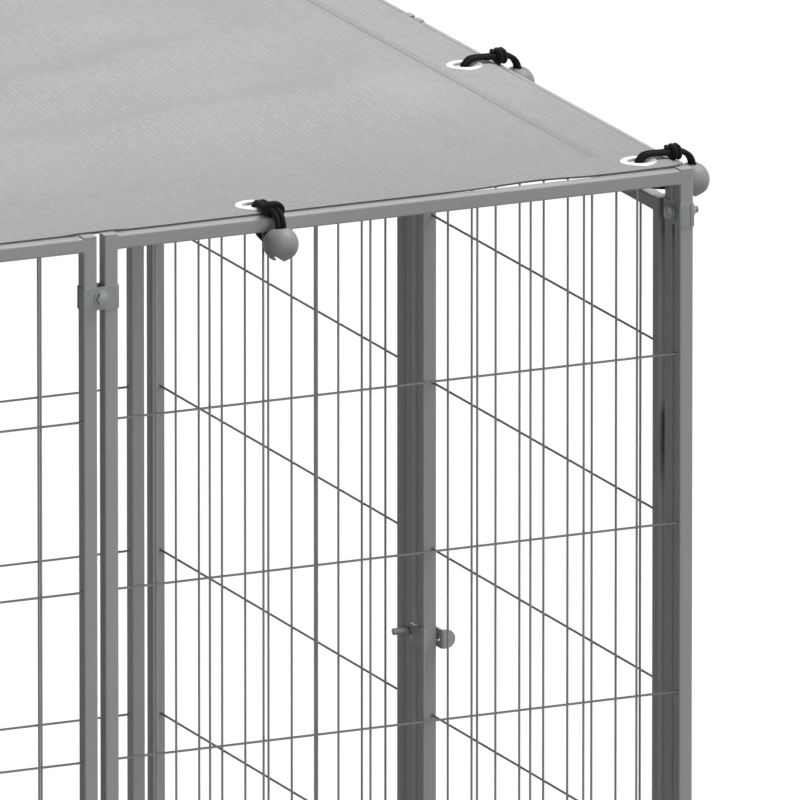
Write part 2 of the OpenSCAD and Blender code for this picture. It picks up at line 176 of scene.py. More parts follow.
class RoofFinish(bpy.types.PropertyGroup):
    """Cut, hem and weave of the roof sheet."""

    cloth_colour: colour("Cloth", "Coated woven polyester", "#b9b9b9")
    # Painted shade: the cloth is darkened towards the front and back edges with this colour
    shade_colour: colour("Cloth shade", "Darker coat towards the edges", "#a6a6a6")
    # Painted shade: this dark colour stands for the shade at the sheet's cut edges and along its outer rim
    cut_edge_shade_colour: colour("Cut edge", "Cut edges of the hem", "#5e5e5e")
    # Painted shade on the inner fold of the side hems
    fold_shade_colour: colour("Fold", "Shaded inner fold of the side hems", "#9b9b9b")
    thread_colour: colour("Thread", "Sewing thread of the hem", "#bababa")
    metal_colour: colour("Grommets", "Nickel plated eyelets and washers", "#f8f8f6")
    cloth: length("Cloth thickness", "Thickness of one layer in mm", 1.2)
    hem: length("Hem thickness", "Thickness of the doubled hem in mm", 1.6)
    hem_width: length("Hem width", "Width of the hem in mm", 55.0)
    sag: length("Sag", "Drop of the middle of the sheet in mm", 12.0)
    fold: length("Folds", "Height of the tallest fold in mm", 12.5)
    stitch: length("Stitch", "Length of one stitch with its space in mm", 4.5)
    cell: length("Mesh cell", "Size of the sheet's mesh cells in mm", 10.0)


class TieFinish(bpy.types.PropertyGroup):
    """Ball, cord and hitch of the roof ties."""

    ball_colour: colour("Ball", "Moulded plastic ball", "#888888")
    cord_colour: colour("Cord", "Braided elastic cord", "#111111")
    ball: length("Ball size", "Diameter of the ball in mm", 30.5)
    wall: length("Ball wall", "Wall thickness of the ball in mm", 2.5)
    cord: length("Cord size", "Diameter of the elastic cord in mm", 5.0)
    hitch: length("Hitch size", "Diameter of the turns that hitch the strands in mm", 4.4)
    sides: IntProperty(name="Cord sides", description="Faces round the cord", default=16, min=8)


class StudioLook(bpy.types.PropertyGroup):
    """Floor, light and camera."""

    floor_colour: colour("Floor", "Pale studio floor", "#fdfdfd")
    key: strength("Key light", "Strength of the light from above", 3.1)
    front: strength("Front light", "Strength of the low front light", 1.5)
    rear: strength("Rear light", "Strength of the light from behind", 0.5)
    fill: strength("Fill", "Strength of the even fill light", 0.1)
    softness: FloatProperty(
        name="Softness", description="Angular size of the lights", default=0.6, min=0.0, subtype="ANGLE"
    )
    lens: FloatProperty(
        name="Lens", description="Focal length in mm, long as in a parallel view", default=1700.0, min=50.0
    )
    azimuth: angle("Azimuth", "Turn of the camera round the run", -24.3)
    elevation: angle("Elevation", "Height of the camera's view", 14.97)
    view_width: FloatProperty(
        name="View width", description="Width of the picture at the front wall", default=0.682, unit="LENGTH"
    )


# Angles between faces from which an edge is shown sharp or bevelled, and the gap in metres that is closed
SHARP_FROM = math.radians(34)
BEVEL_FROM = math.radians(40)
JOIN_GAP = 0.000002


def add_object(name, data):
    """A new object in the scene."""
    made = bpy.data.objects.new(name, data)
    bpy.context.scene.collection.objects.link(made)
    return made


def look_back(made, towards):
    """Turns a light or camera to look back along the direction that leads to it."""
    made.rotation_mode = "QUATERNION"
    made.rotation_quaternion = (-towards).to_track_quat("-Z", "Y")


class Shape:
    """Points in millimetres and the faces between them, gathered piece by piece."""

    def __init__(self):
        self.points = []
        self.faces = []

    def add(self, points, faces, place=None):
        """Takes in points, placed by a matrix, and the faces that count them from zero."""
        start = len(self.points)
        turned = points if place is None else [place @ Vector(p) for p in points]
        self.points.extend(tuple(p) for p in turned)
        self.faces.extend(tuple(start + i for i in face) for face in faces)

    def piece(self, name, material, body, slot):
        """The gathered faces as one object that rides on a body, smooth but for its real edges."""
        mesh = bpy.data.meshes.new(name)
        mesh.from_pydata(self.points, [], self.faces)
        work = bmesh.new()
        work.from_mesh(mesh)
        bmesh.ops.recalc_face_normals(work, faces=work.faces)
        work.to_mesh(mesh)
        work.free()
        mesh.shade_smooth()
        mesh.set_sharp_from_angle(angle=SHARP_FROM)
        mesh.materials.append(material)
        made = add_object(name, mesh)
        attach(made, body)
        return made


def wall_place(wall, x=0.0, y=0.0, z=0.0):
    """Matrix from millimetres beside a wall to metres: x along it, y inwards from its outer face, z up."""
    turn = Matrix.Rotation(math.pi / 2 * wall, 4, "Z")
    return Matrix.Scale(MM, 4) @ turn @ Matrix.Translation((x, y - HALF, z))


def ring_faces(rings, count, cap_end=True, closed=False):
    """Quads between rings of equal count, and the two ends."""
    faces = []
    for i in range(rings if closed else rings - 1):
        for k in range(count):
            a, b = i * count + k, i * count + (k + 1) % count
            faces.append((a, b, (b + count) % (rings * count), (a + count) % (rings * count)))
    if not closed:
        faces.append(tuple(reversed(range(count))))
    if not closed and cap_end:
        faces.append(tuple((rings - 1) * count + k for k in range(count)))
    return faces


def lathe(profile, steps, closed=False):
    """Points and faces of a profile (radius, height) turned round the z axis."""
    points = []
    for radius, height in profile:
        for k in range(steps):
            turn = 2 * math.pi * k / steps
            points.append((radius * math.cos(turn), radius * math.sin(turn), height))
    return points, ring_faces(len(profile), steps, closed=closed)


def smooth_way(corners, step):
    """Points about one step apart on a smooth curve through the corners."""
    ends = [2 * corners[0] - corners[1], *corners, 2 * corners[-1] - corners[-2]]
    way = []
    for a, b, c, d in zip(ends, ends[1:], ends[2:], ends[3:]):
        count = max(1, round((c - b).length / step))
        for k in range(count):
            t = k / count
            bend = (2 * a - 5 * b + 4 * c - d) * t * t + (3 * (b - c) + d - a) * t**3
            way.append(b + 0.5 * ((c - a) * t + bend))
    way.append(corners[-1])
    return way


def sweep(way, radius, sides, relief=None):
    """Points and faces of a round cord along a way; relief(distance, turn) adds to its radius."""
    points = []
    side = Vector((1, 0, 0))
    run = 0.0
    for i, at in enumerate(way):
        along = (way[min(i + 1, len(way) - 1)] - way[max(i - 1, 0)]).normalized()
        side = (side - along * side.dot(along)).normalized()
        other = along.cross(side)
        run += (at - way[i - 1]).length if i else 0.0
        for k in range(sides):
            turn = 2 * math.pi * k / sides
            reach = radius + (relief(run, turn) if relief else 0.0)
            points.append(at + reach * (math.cos(turn) * side + math.sin(turn) * other))
    return points, ring_faces(len(way), sides)


def node(tree, kind, settings=None, links=None):
    """Adds a node; lower-case settings are its options, the rest its sockets."""
    made = tree.nodes.new(kind)
    for name, value in (settings or {}).items():
        if isinstance(name, str) and name.islower():
            setattr(made, name, value)
        else:
            made.inputs[name].default_value = value
    for name, source in (links or {}).items():
        tree.links.new(source, made.inputs[name])
    return made


def socket_name(word):
    """Name of a socket given as a keyword, such as specular_ior_level."""
    return word.replace("_", " ").title().replace("Ior", "IOR")


def start_material(name, **sockets):
    """A new material with its tree, its surface shader and object coordinates."""
    made = bpy.data.materials.new(name)
    made.use_nodes = True
    tree = made.node_tree
    surface = tree.nodes["Principled BSDF"]
    for word, value in sockets.items():
        surface.inputs[socket_name(word)].default_value = value
    place = node(tree, "ShaderNodeTexCoord")
    return made, tree, surface, place.outputs["Object"]


def feed(tree, surface, **sources):
    """Links outputs of nodes to the surface shader's sockets."""
    for word, source in sources.items():
        tree.links.new(source, surface.inputs[socket_name(word)])


def scaled(tone, factor):
    """A colour made lighter or darker."""
    return (*[min(1.0, c * factor) for c in tone[:3]], 1.0)


def powder_coated_steel(name, tone):
    """Baked polyester powder: soft gloss over a fine orange peel, slightly uneven in tone."""
    made, tree, surface, place = start_material(name, roughness=0.5, specular_ior_level=0.3)
    # Drifts of tone about 70 mm long, and a peel of about 1.8 mm, drawn coarser than real so that it shows
    drift = node(tree, "ShaderNodeTexNoise", {"Scale": 1000 / 70, "Detail": 3.0}, {"Vector": place})
    mix = {"data_type": "RGBA", 6: scaled(tone, 0.94), 7: scaled(tone, 1.05)}
    shade = node(tree, "ShaderNodeMix", mix, {0: drift.outputs[0]})
    peel = node(tree, "ShaderNodeTexNoise", {"Scale": 1000 / 1.8, "Detail": 2.0}, {"Vector": place})
    gloss = {"From Min": 0.3, "From Max": 0.7, "To Min": 0.44, "To Max": 0.56}
    rough = node(tree, "ShaderNodeMapRange", gloss, {"Value": peel.outputs[0]})
    bump = node(tree, "ShaderNodeBump", {"Strength": 0.25, "Distance": 0.0001}, {"Height": peel.outputs[0]})
    feed(tree, surface, base_color=shade.outputs[2], roughness=rough.outputs[0], normal=bump.outputs[0])
    return made


def coated_drawn_wire(name, tone):
    """Drawn steel wire under a thin coat: faint die lines, darker pooled coat, painted shade on the upper
    sides.
    """
    made, tree, surface, place = start_material(name, roughness=0.48, specular_ior_level=0.3)
    pool = node(tree, "ShaderNodeTexNoise", {"Scale": 1000 / 25, "Detail": 2.0}, {"Vector": place})
    mix = {"data_type": "RGBA", 6: scaled(tone, 0.92), 7: scaled(tone, 1.06)}
    shade = node(tree, "ShaderNodeMix", mix, {0: pool.outputs[0]})
    # Shade is painted where the surface faces up, so the upper sides of the wire are darker
    skin = node(tree, "ShaderNodeNewGeometry")
    facing = node(tree, "ShaderNodeSeparateXYZ", None, {"Vector": skin.outputs["Normal"]})
    painted_top_shade = node(tree, "ShaderNodeMapRange", {"From Max": 0.6, "To Max": 0.95}, {"Value": facing.outputs["Z"]})
    darkened_top_mix = {"data_type": "RGBA", 7: scaled(tone, 0.22)}
    coat = node(tree, "ShaderNodeMix", darkened_top_mix, {0: painted_top_shade.outputs[0], 6: shade.outputs[2]})
    grain = node(tree, "ShaderNodeTexNoise", {"Scale": 1000 / 0.9, "Detail": 2.0}, {"Vector": place})
    bump = node(tree, "ShaderNodeBump", {"Strength": 0.2, "Distance": 0.0001}, {"Height": grain.outputs[0]})
    feed(tree, surface, base_color=coat.outputs[2], normal=bump.outputs[0])
    return made


def pressed_steel_sheet(name, tone):
    """Passivated and lacquered sheet, pressed: dull grey-green with rolling streaks and paler worn spots."""
    made, tree, surface, place = start_material(name, roughness=0.5, specular_ior_level=0.35)
    # Rolling streaks 12 mm long and 1.5 mm high
    lengths = {"Scale": (1000 / 12, 1000 / 12, 1000 / 1.5)}
    stretch = node(tree, "ShaderNodeMapping", lengths, {"Vector": place})
    streak = node(tree, "ShaderNodeTexNoise", {"Scale": 1.0, "Detail": 4.0}, {"Vector": stretch.outputs[0]})
    mix = {"data_type": "RGBA", 6: scaled(tone, 0.9), 7: scaled(tone, 1.08)}
    shade = node(tree, "ShaderNodeMix", mix, {0: streak.outputs[0]})
    gloss = {"From Min": 0.3, "From Max": 0.7, "To Min": 0.42, "To Max": 0.6}
    rough = node(tree, "ShaderNodeMapRange", gloss, {"Value": streak.outputs[0]})
    bump = node(tree, "ShaderNodeBump", {"Strength": 0.15, "Distance": 0.0001}, {"Height": streak.outputs[0]})
    feed(tree, surface, base_color=shade.outputs[2], roughness=rough.outputs[0], normal=bump.outputs[0])
    return made


def zinc_plated_steel(name, tone):
    """Dulled zinc on turned steel: grey with cloudy crystals about 4 mm across."""
    made, tree, surface, place = start_material(name, metallic=0.2, roughness=0.5)
    cloud = node(tree, "ShaderNodeTexVoronoi", {"Scale": 1000 / 4}, {"Vector": place})
    grey = node(tree, "ShaderNodeSeparateColor", None, {"Color": cloud.outputs["Color"]})
    mix = {"data_type": "RGBA", 6: scaled(tone, 0.86), 7: scaled(tone, 1.04)}
    shade = node(tree, "ShaderNodeMix", mix, {0: grey.outputs[0]})
    rough = node(tree, "ShaderNodeMapRange", {"To Min": 0.44, "To Max": 0.58}, {"Value": grey.outputs[1]})
    feed(tree, surface, base_color=shade.outputs[2], roughness=rough.outputs[0])
    return made


def nickel_plated_brass(name, tone):
    """Rolled and plated eyelet: bright metal with faint turning rings and fine scratches."""
    made, tree, surface, place = start_material(name, metallic=0.4, roughness=0.28)
    scratch = node(tree, "ShaderNodeTexNoise", {"Scale": 1000 / 2.0, "Detail": 5.0}, {"Vector": place})
    mix = {"data_type": "RGBA", 6: scaled(tone, 0.95), 7: tone}
    shade = node(tree, "ShaderNodeMix", mix, {0: scratch.outputs[0]})
    rough = node(tree, "ShaderNodeMapRange", {"To Min": 0.2, "To Max": 0.36}, {"Value": scratch.outputs[0]})
    feed(tree, surface, base_color=shade.outputs[2], roughness=rough.outputs[0])
    return made


def moulded_plastic(name, tone, grit):
    """Injection moulded polyethylene: satin skin with spark-eroded grit, given in mm."""
    made, tree, surface, place = start_material(name, roughness=0.5, ior=1.5, specular_ior_level=0.4)
    skin = node(tree, "ShaderNodeTexNoise", {"Scale": 1000 / grit, "Detail": 3.0}, {"Vector": place})
    flow = node(tree, "ShaderNodeTexNoise", {"Scale": 1000 / 14, "Detail": 1.0}, {"Vector": place})
    mix = {"data_type": "RGBA", 6: scaled(tone, 0.95), 7: scaled(tone, 1.05)}
    shade = node(tree, "ShaderNodeMix", mix, {0: flow.outputs[0]})
    rough = node(tree, "ShaderNodeMapRange", {"To Min": 0.42, "To Max": 0.58}, {"Value": skin.outputs[0]})
    bump = node(tree, "ShaderNodeBump", {"Strength": 0.2, "Distance": 0.0001}, {"Height": skin.outputs[0]})
    feed(tree, surface, base_color=shade.outputs[2], roughness=rough.outputs[0], normal=bump.outputs[0])
    return made


def coated_oxford_polyester(name, tone, shade):
    """Basket-woven polyester with a thin matt coat: flat floats in staggered rows, hardly any gloss."""
    made, tree, surface, place = start_material(name, roughness=0.9, specular_ior_level=0.06)
    # Floats 11 mm long in rows 5 mm apart: threads are finer, drawn as coarse as the weave shows
    # The rows wander by up to 1 mm, so that the weave isn't ruled
    sway = node(tree, "ShaderNodeTexNoise", {"Scale": 1000 / 30, "Detail": 2.0}, {"Vector": place})
    wander = {"operation": "MULTIPLY_ADD", 1: (0.006, 0.006, 0.0)}
    loose = node(tree, "ShaderNodeVectorMath", wander, {0: sway.outputs["Color"], 2: place})
    turn = node(tree, "ShaderNodeMapping", {"Rotation": (0, 0, math.pi / 2)}, {"Vector": loose.outputs[0]})
    weave = {"Scale": 1000.0, "Brick Width": 11.0, "Row Height": 5.0}
    weave.update({"Mortar Size": 0.9, "Mortar Smooth": 1.0, "Mortar": scaled(tone, 0.83)})
    weave.update({"Color1": tone, "Color2": scaled(tone, 0.92)})
    float_rows = node(tree, "ShaderNodeTexBrick", weave, {"Vector": turn.outputs[0]})
    # Painted shade: the coat keeps its tone in the middle of the sheet and is darkened towards the front and
    # back edges, where the light falls off; drifts about 180 mm long make the border of that painted shade
    # uneven
    drift = node(tree, "ShaderNodeTexNoise", {"Scale": 1000 / 180, "Detail": 3.0}, {"Vector": place})
    roof_shade_border = node(tree, "ShaderNodeMapRange", {"To Min": -0.62, "To Max": -0.37}, {"Value": drift.outputs[0]})
    spot = node(tree, "ShaderNodeSeparateXYZ", None, {"Vector": place})
    away = node(tree, "ShaderNodeMath", {"operation": "ABSOLUTE"}, {0: spot.outputs["Y"]})
    links = {0: away.outputs[0], 2: roof_shade_border.outputs[0]}
    roof_painted_shade = node(tree, "ShaderNodeMath", {"operation": "MULTIPLY_ADD", 1: 2.2, "use_clamp": True}, links)
    ratio = [dark / pale for dark, pale in zip(shade, tone)]
    fade = {"data_type": "RGBA", "blend_type": "MULTIPLY", 7: ratio}
    base = node(tree, "ShaderNodeMix", fade, {0: roof_painted_shade.outputs[0], 6: float_rows.outputs["Color"]})
    height = {"invert": True, "Strength": 0.35, "Distance": 0.0002}
    bump = node(tree, "ShaderNodeBump", height, {"Height": float_rows.outputs["Fac"]})
    feed(tree, surface, base_color=base.outputs[2], normal=bump.outputs[0])
    return made


def braided_elastic(name, tone):
    """Polyester braid over rubber: matt black yarn with a faint sheen along the strands."""
    made, tree, surface, place = start_material(name, roughness=0.8, specular_ior_level=0.12)
    surface.inputs["Sheen Weight"].default_value = 0.04
    yarn = node(tree, "ShaderNodeTexNoise", {"Scale": 1000 / 1.2, "Detail": 3.0}, {"Vector": place})
    mix = {"data_type": "RGBA", 6: scaled(tone, 0.7), 7: scaled(tone, 1.5)}
    shade = node(tree, "ShaderNodeMix", mix, {0: yarn.outputs[0]})
    bump = node(tree, "ShaderNodeBump", {"Strength": 0.3, "Distance": 0.0002}, {"Height": yarn.outputs[0]})
    feed(tree, surface, base_color=shade.outputs[2], normal=bump.outputs[0])
    return made


def spun_thread(name, tone):
    """Twisted polyester sewing thread: matt, with a twist of about 1 mm."""
    made, tree, surface, place = start_material(name, roughness=0.8, specular_ior_level=0.2)
    twist = node(tree, "ShaderNodeTexWave", {"Scale": 1000 / 6, "Distortion": 1.0}, {"Vector": place})
    mix = {"data_type": "RGBA", 6: scaled(tone, 0.85), 7: scaled(tone, 1.1)}
    shade = node(tree, "ShaderNodeMix", mix, {0: twist.outputs[0]})
    feed(tree, surface, base_color=shade.outputs[2])
    return made


def finish(names, material, edge=0.0, segments=2):
    """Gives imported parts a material, and softens their sharp edges by a bevel in millimetres."""
    for name in names:
        part = NODES[name]
        part.data.materials.clear()
        part.data.materials.append(material)
        if edge:
            weld = part.modifiers.new("joined faces", "WELD")
            weld.merge_threshold = JOIN_GAP
            bevel = part.modifiers.new("soft edges", "BEVEL")
            bevel.width = edge * MM
            bevel.segments = segments
            bevel.limit_method = "ANGLE"
            bevel.angle_limit = BEVEL_FROM
            bevel.use_clamp_overlap = True
            bevel.harden_normals = True


def blob(shape, place, at, size):
    """A small weld drop: a squashed ball of few faces."""
    work = bmesh.new()
    bmesh.ops.create_icosphere(work, subdivisions=1, radius=1.0)
    points = [[a + c * s for a, c, s in zip(at, v.co, size)] for v in work.verts]
    shape.add(points, [tuple(v.index for v in f.verts) for f in work.faces], place)
    work.free()


# Weld bead in a corner: its shift out of the corner, its distance from the tubes' faces, steps, sides, ripple
BEAD_OUT = 0.3
BEAD_END = 1.6
BEAD_STEPS = 24
BEAD_SIDES = 10
RIPPLE_HIGH = 0.1
RIPPLE_PITCH = 1.6
# Weld ground flush: its reach on post and rail, its distance from the rail's edges, its depth and its rise
FLUSH_POST = 1.7
FLUSH_RAIL = 0.6
FLUSH_END = 0.9
FLUSH_DEEP = 0.6
FLUSH_RISE = 0.02


def bead_ripple(run, turn):
    """Ripple along a weld bead, the same all round."""
    return RIPPLE_HIGH * math.sin(2 * math.pi * run / RIPPLE_PITCH)


class KENNEL_OT_frame_coat(bpy.types.Operator):
    """Coats posts, rails and door frame, and lays the welds where they meet"""

    bl_idname = "kennel.frame_coat"
    bl_label = "Coat the Frames"

    def execute(self, context):
        look = context.scene.kennel_frame
        coat = powder_coated_steel("powder_coated_steel_tube", look.tube_colour)
        caps = moulded_plastic("moulded_polypropylene_caps", look.cap_colour, grit=1.0)
        tubes = [f"{name}_{part}" for name, _, _ in PANELS for part in ("posts", "rails")]
        finish(tubes + ["door_stiles", "door_rails"], coat)
        finish(["post_caps", "foot_caps", "door_caps"], caps, edge=0.35)
        beads = Shape()
        for _, wall, half in PANELS:
            x = STARTS[half]
            self.corner_beads(beads, wall, (x + TUBE, x + PANEL_W - TUBE), CLEAR_Z, look.bead)
        beads.piece("frame_weld_beads", coat, "cage", "tube_paint")
        leaf = Shape()
        self.corner_beads(leaf, DOOR_WALL, LEAF_X, LEAF_Z, look.bead)
        leaf.piece("door_weld_beads", coat, "door", "tube_paint")
        return {"FINISHED"}

    def corner_beads(self, shape, wall, sides, levels, radius):
        """A rippled bead in each inner corner, and welds ground flush on the outer and inner face."""
        place = wall_place(wall)
        rows = [BEAD_END + i * (TUBE - 2 * BEAD_END) / BEAD_STEPS for i in range(BEAD_STEPS + 1)]
        for x, side in zip(sides, (1, -1)):
            for z, lift in zip(levels, (1, -1)):
                at_x, at_z = x + side * BEAD_OUT, z + lift * BEAD_OUT
                way = [Vector((at_x, row, at_z)) for row in rows]
                shape.add(*sweep(way, radius, BEAD_SIDES, bead_ripple), place)
                ends = sorted((z - lift * FLUSH_END, z - lift * (TUBE - FLUSH_END)))
                for depth in (-FLUSH_RISE, TUBE - (FLUSH_DEEP - FLUSH_RISE)):
                    corners = [(x - side * FLUSH_POST, depth), (x + side * FLUSH_RAIL, depth)]
                    corners += [(a, b + FLUSH_DEEP) for a, b in reversed(corners)]
                    shape.add([(a, b, end) for end in ends for a, b in corners], ring_faces(2, 4), place)


# Drops of weld: how far crossings and the ends of cross wires lie outside the tubes' middle,
# the shares of the nugget's radius that a drop takes, and the least height of a cross wire over the rail
CROSSING_OUT = 1.0
CROSS_OUT = 2.05
CROSSING_DEEP = 1.05
DROP_WIDE = 1.5
DROP_FLAT = 0.8
CROSS_OVER = 2


class KENNEL_OT_wire_welds(bpy.types.Operator):
    """Coats the wire and puts a spot weld at each crossing and each wire's end"""

    bl_idname = "kennel.wire_welds"
    bl_label = "Coat and Weld the Wire"

    def execute(self, context):
        look = context.scene.kennel_frame
        coat = coated_drawn_wire("coated_drawn_wire", look.wire_colour)
        finish([f"{name}_mesh" for name, _, _ in PANELS if name != "door_panel"] + ["door_mesh"], coat)
        spots = Shape()
        for name, wall, half in PANELS:
            if name != "door_panel":
                x = STARTS[half]
                self.weld(spots, look, wall, (x + TUBE, x + PANEL_W - TUBE), CLEAR_Z, look.panel_first)
        spots.piece("wire_spot_welds", coat, "cage", "mesh_wire")
        leaf = Shape()
        self.weld(leaf, look, DOOR_WALL, LEAF_X, LEAF_Z, look.door_first)
        leaf.piece("door_wire_spot_welds", coat, "door", "mesh_wire")
        return {"FINISHED"}

    def weld(self, shape, look, wall, sides, levels, first):
        """Drops where one panel's wires cross each other and where they meet the tubes."""
        place = wall_place(wall)
        x, width = sides[0], sides[1] - sides[0]
        count = int(width // look.wire_pitch)
        uprights = [x + width / 2 + (i - (count - 1) / 2) * look.wire_pitch for i in range(count)]
        crosses = []
        level = RAIL_TOP - first
        while level >= levels[0] + CROSS_OVER:
            crosses.append(level)
            level -= look.cross_pitch
        r = look.nugget
        wide, flat = r * DROP_WIDE, r * DROP_FLAT
        for at in uprights:
            for z in crosses:
                blob(shape, place, (at, TUBE / 2 - CROSSING_OUT, z), (r, r * CROSSING_DEEP, r))
            for z in levels:
                blob(shape, place, (at, TUBE / 2, z), (wide, wide, flat))
        for z in crosses:
            for at in sides:
                blob(shape, place, (at, TUBE / 2 - CROSS_OUT, z), (flat, wide, wide))


# Clamps: drop of the bolts below the rail's top at a joint and at a corner, and their height over the feet
JOINT_DROP = 53.5
CORNER_DROP = 40.0
LOWER_RISE = 62
# Bolts and nuts: width across flats, how much of the corners is turned off and how steeply, height of the
# flange, of bolt head and nut from the sheet, and points round a hexagon, a shank or a thread
FLATS = 10.0
TURNED_OFF = 0.2
CHAMFER = 0.58
FLANGE_HIGH = 1.2
HEAD_HIGH = 5.2
NUT_HIGH = 6.2
BOLT_STEPS = 24
FLANGE_STEPS = 32
# Shank's radius, start in the head and reach past the clamp; thread's length and rows; its root, height,
# pitch and chamfer at the end
SHANK_R = 3.0
SHANK_IN = 0.2
SHANK_PAST = 6.0
THREAD_LONG = 4.2
THREAD_ROWS = 30
THREAD_ROOT = 2.55
THREAD_HIGH = 0.45
THREAD_PITCH = 1.0
THREAD_END = 0.5
# Bore of the nut's flange, and the chamfered mouth of its thread (radius, height)
NUT_BORE = 3.1
NUT_MOUTH = ((3.3, NUT_HIGH), (3.02, 5.7))
# Radius that stands for a point on the axis of a turned profile
AXIS_R = 0.01


def ring(turns, radius, height):
    """A round ring of points."""
    return [(radius * math.cos(t), radius * math.sin(t), height) for t in turns]


def bolt_turns():
    """Angles of the points round a hexagon."""
    return [2 * math.pi * k / BOLT_STEPS for k in range(BOLT_STEPS)]


def hexagon(low, high):
    """Rings of a hexagon prism whose corners are turned off at its upper end."""
    round_r = FLATS / 2 - TURNED_OFF
    outline = [(t, FLATS / 2 / math.cos(t % (math.pi / 3) - math.pi / 6)) for t in bolt_turns()]
    foot = [(r * math.cos(t), r * math.sin(t), low) for t, r in outline]
    cut = [(r * math.cos(t), r * math.sin(t), high - CHAMFER * (r - round_r)) for t, r in outline]
    return [foot, cut, ring(bolt_turns(), round_r, high)]


def flange(inner):
    """Profile (radius, height) of the round flange under a bolt head or a nut."""
    rim = ((6.9, 0.0), (7.25, 0.35), (7.25, 0.9), (6.9, FLANGE_HIGH))
    return [(inner, 0.0), *rim, (inner, FLANGE_HIGH)]


class KENNEL_OT_clamps(bpy.types.Operator):
    """Finishes the clamp halves and makes their flange bolts and nuts with threads"""

    bl_idname = "kennel.clamps"
    bl_label = "Finish the Clamps"

    def execute(self, context):
        look = context.scene.kennel_frame
        sheet = pressed_steel_sheet("pressed_steel_clamp_sheet", look.clamp_colour)
        zinc = zinc_plated_steel("zinc_plated_steel_bolts", look.zinc_colour)
        finish(["clamp_outer_halves", "clamp_inner_halves"], sheet, edge=0.25)
        bolts = Shape()
        nuts = Shape()
        bolt_form = self.bolt()
        nut_form = self.nut()
        for wall in WALLS:
            for x, drop, outside in ((JOINT_X, JOINT_DROP, True), (CORNER_X, CORNER_DROP, False)):
                for z in (RAIL_TOP - drop, FOOT + LOWER_RISE):
                    place = wall_place(wall, x, 0.0 if outside else TUBE, z)
                    turn = Matrix.Rotation(math.radians(-90), 4, "X")
                    if not outside:
                        turn = Matrix.Rotation(math.pi, 4, "Z") @ turn
                    for points, faces in bolt_form:
                        bolts.add(points, faces, place @ turn)
                    for points, faces in nut_form:
                        nuts.add(points, faces, place @ turn)
        head = bolts.piece("flange_bolts", zinc, "cage", "zinc_hardware")
        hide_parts("clamp_bolts")
        hold = nuts.piece("flange_nuts", zinc, "cage", "zinc_hardware")
        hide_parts("clamp_nuts")
        return {"FINISHED"}

    def bolt(self):
        """Head and flange on the clamp's sheet below z = 0, shank and thread above."""
        sheet = -CLAMP
        rings = hexagon(FLANGE_HIGH, HEAD_HIGH)
        head = [(x, y, sheet - z) for row in rings for x, y, z in row]
        end = TUBE + CLAMP + SHANK_PAST
        thread = []
        for i in range(THREAD_ROWS + 1):
            z = end + THREAD_LONG * i / THREAD_ROWS
            tip = THREAD_END if i == THREAD_ROWS else 0.0
            for k, turn in enumerate(bolt_turns()):
                wave = abs(((z / THREAD_PITCH - k / BOLT_STEPS) % 1.0) - 0.5) * 2
                r = THREAD_ROOT + THREAD_HIGH * wave - tip
                thread.append((r * math.cos(turn), r * math.sin(turn), z))
        return (
            lathe([(r, sheet - z) for r, z in reversed(flange(AXIS_R))], FLANGE_STEPS),
            (head, ring_faces(len(rings), BOLT_STEPS)),
            lathe([(SHANK_R, sheet - SHANK_IN), (SHANK_R, end)], BOLT_STEPS),
            (thread, ring_faces(THREAD_ROWS + 1, BOLT_STEPS)),
        )

    def nut(self):
        """Flange and hexagon on the far side of the clamp."""
        base = TUBE + CLAMP
        rings = hexagon(base + FLANGE_HIGH, base + NUT_HIGH)
        rings += [ring(bolt_turns(), radius, base + high) for radius, high in NUT_MOUTH]
        points = [p for row in rings for p in row]
        collar = [(r, base + z) for r, z in flange(NUT_BORE)]
        body = (points, ring_faces(len(rings), BOLT_STEPS, cap_end=False))
        return lathe(collar, FLANGE_STEPS, closed=True), body


# Hinge pins: length between the riveted heads, steps round, and a head's profile (radius, height)
PIN_LONG = 48.3
PIN_STEPS = 32
PIN_HEAD = ((AXIS_R, -1.7), (2.2, -1.5), (3.6, -0.9), (4.0, -0.2), (3.0, -0.2))


class KENNEL_OT_door_hardware(bpy.types.Operator):
    """Finishes the hinges and the latch, and heads the hinge pins"""

    bl_idname = "kennel.door_hardware"
    bl_label = "Finish Hinges and Latch"

    def execute(self, context):
        look = context.scene.kennel_frame
        coat = powder_coated_steel("powder_coated_steel_hinge", scaled(look.tube_colour, 0.95))
        sheet = pressed_steel_sheet("pressed_steel_latch_sheet", look.latch_colour)
        zinc = zinc_plated_steel("zinc_plated_steel_pins", look.zinc_colour)
        finish(["hinge_frame_knuckles", "hinge_door_knuckles"], coat, edge=0.4)
        finish(["latch_slider"], sheet, edge=0.5, segments=3)
        finish(["latch_guide_rivet"], zinc, edge=1.1, segments=4)
        finish(["latch_keeper_pin"], zinc, edge=0.8, segments=3)
        pins = Shape()
        x = mm((PIN_LOW.y + PIN_HIGH.y) / 2)
        profile = [*PIN_HEAD, *[(r, PIN_LONG - z) for r, z in reversed(PIN_HEAD)]]
        for z in (mm(PIN_LOW.z), mm(PIN_HIGH.z) - PIN_LONG):
            pins.add(*lathe(profile, PIN_STEPS), wall_place(DOOR_WALL, x, 0.0, z))
        made = pins.piece("riveted_hinge_pins", zinc, "cage", "zinc_hardware")
        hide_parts("hinge_pins")
        return {"FINISHED"}


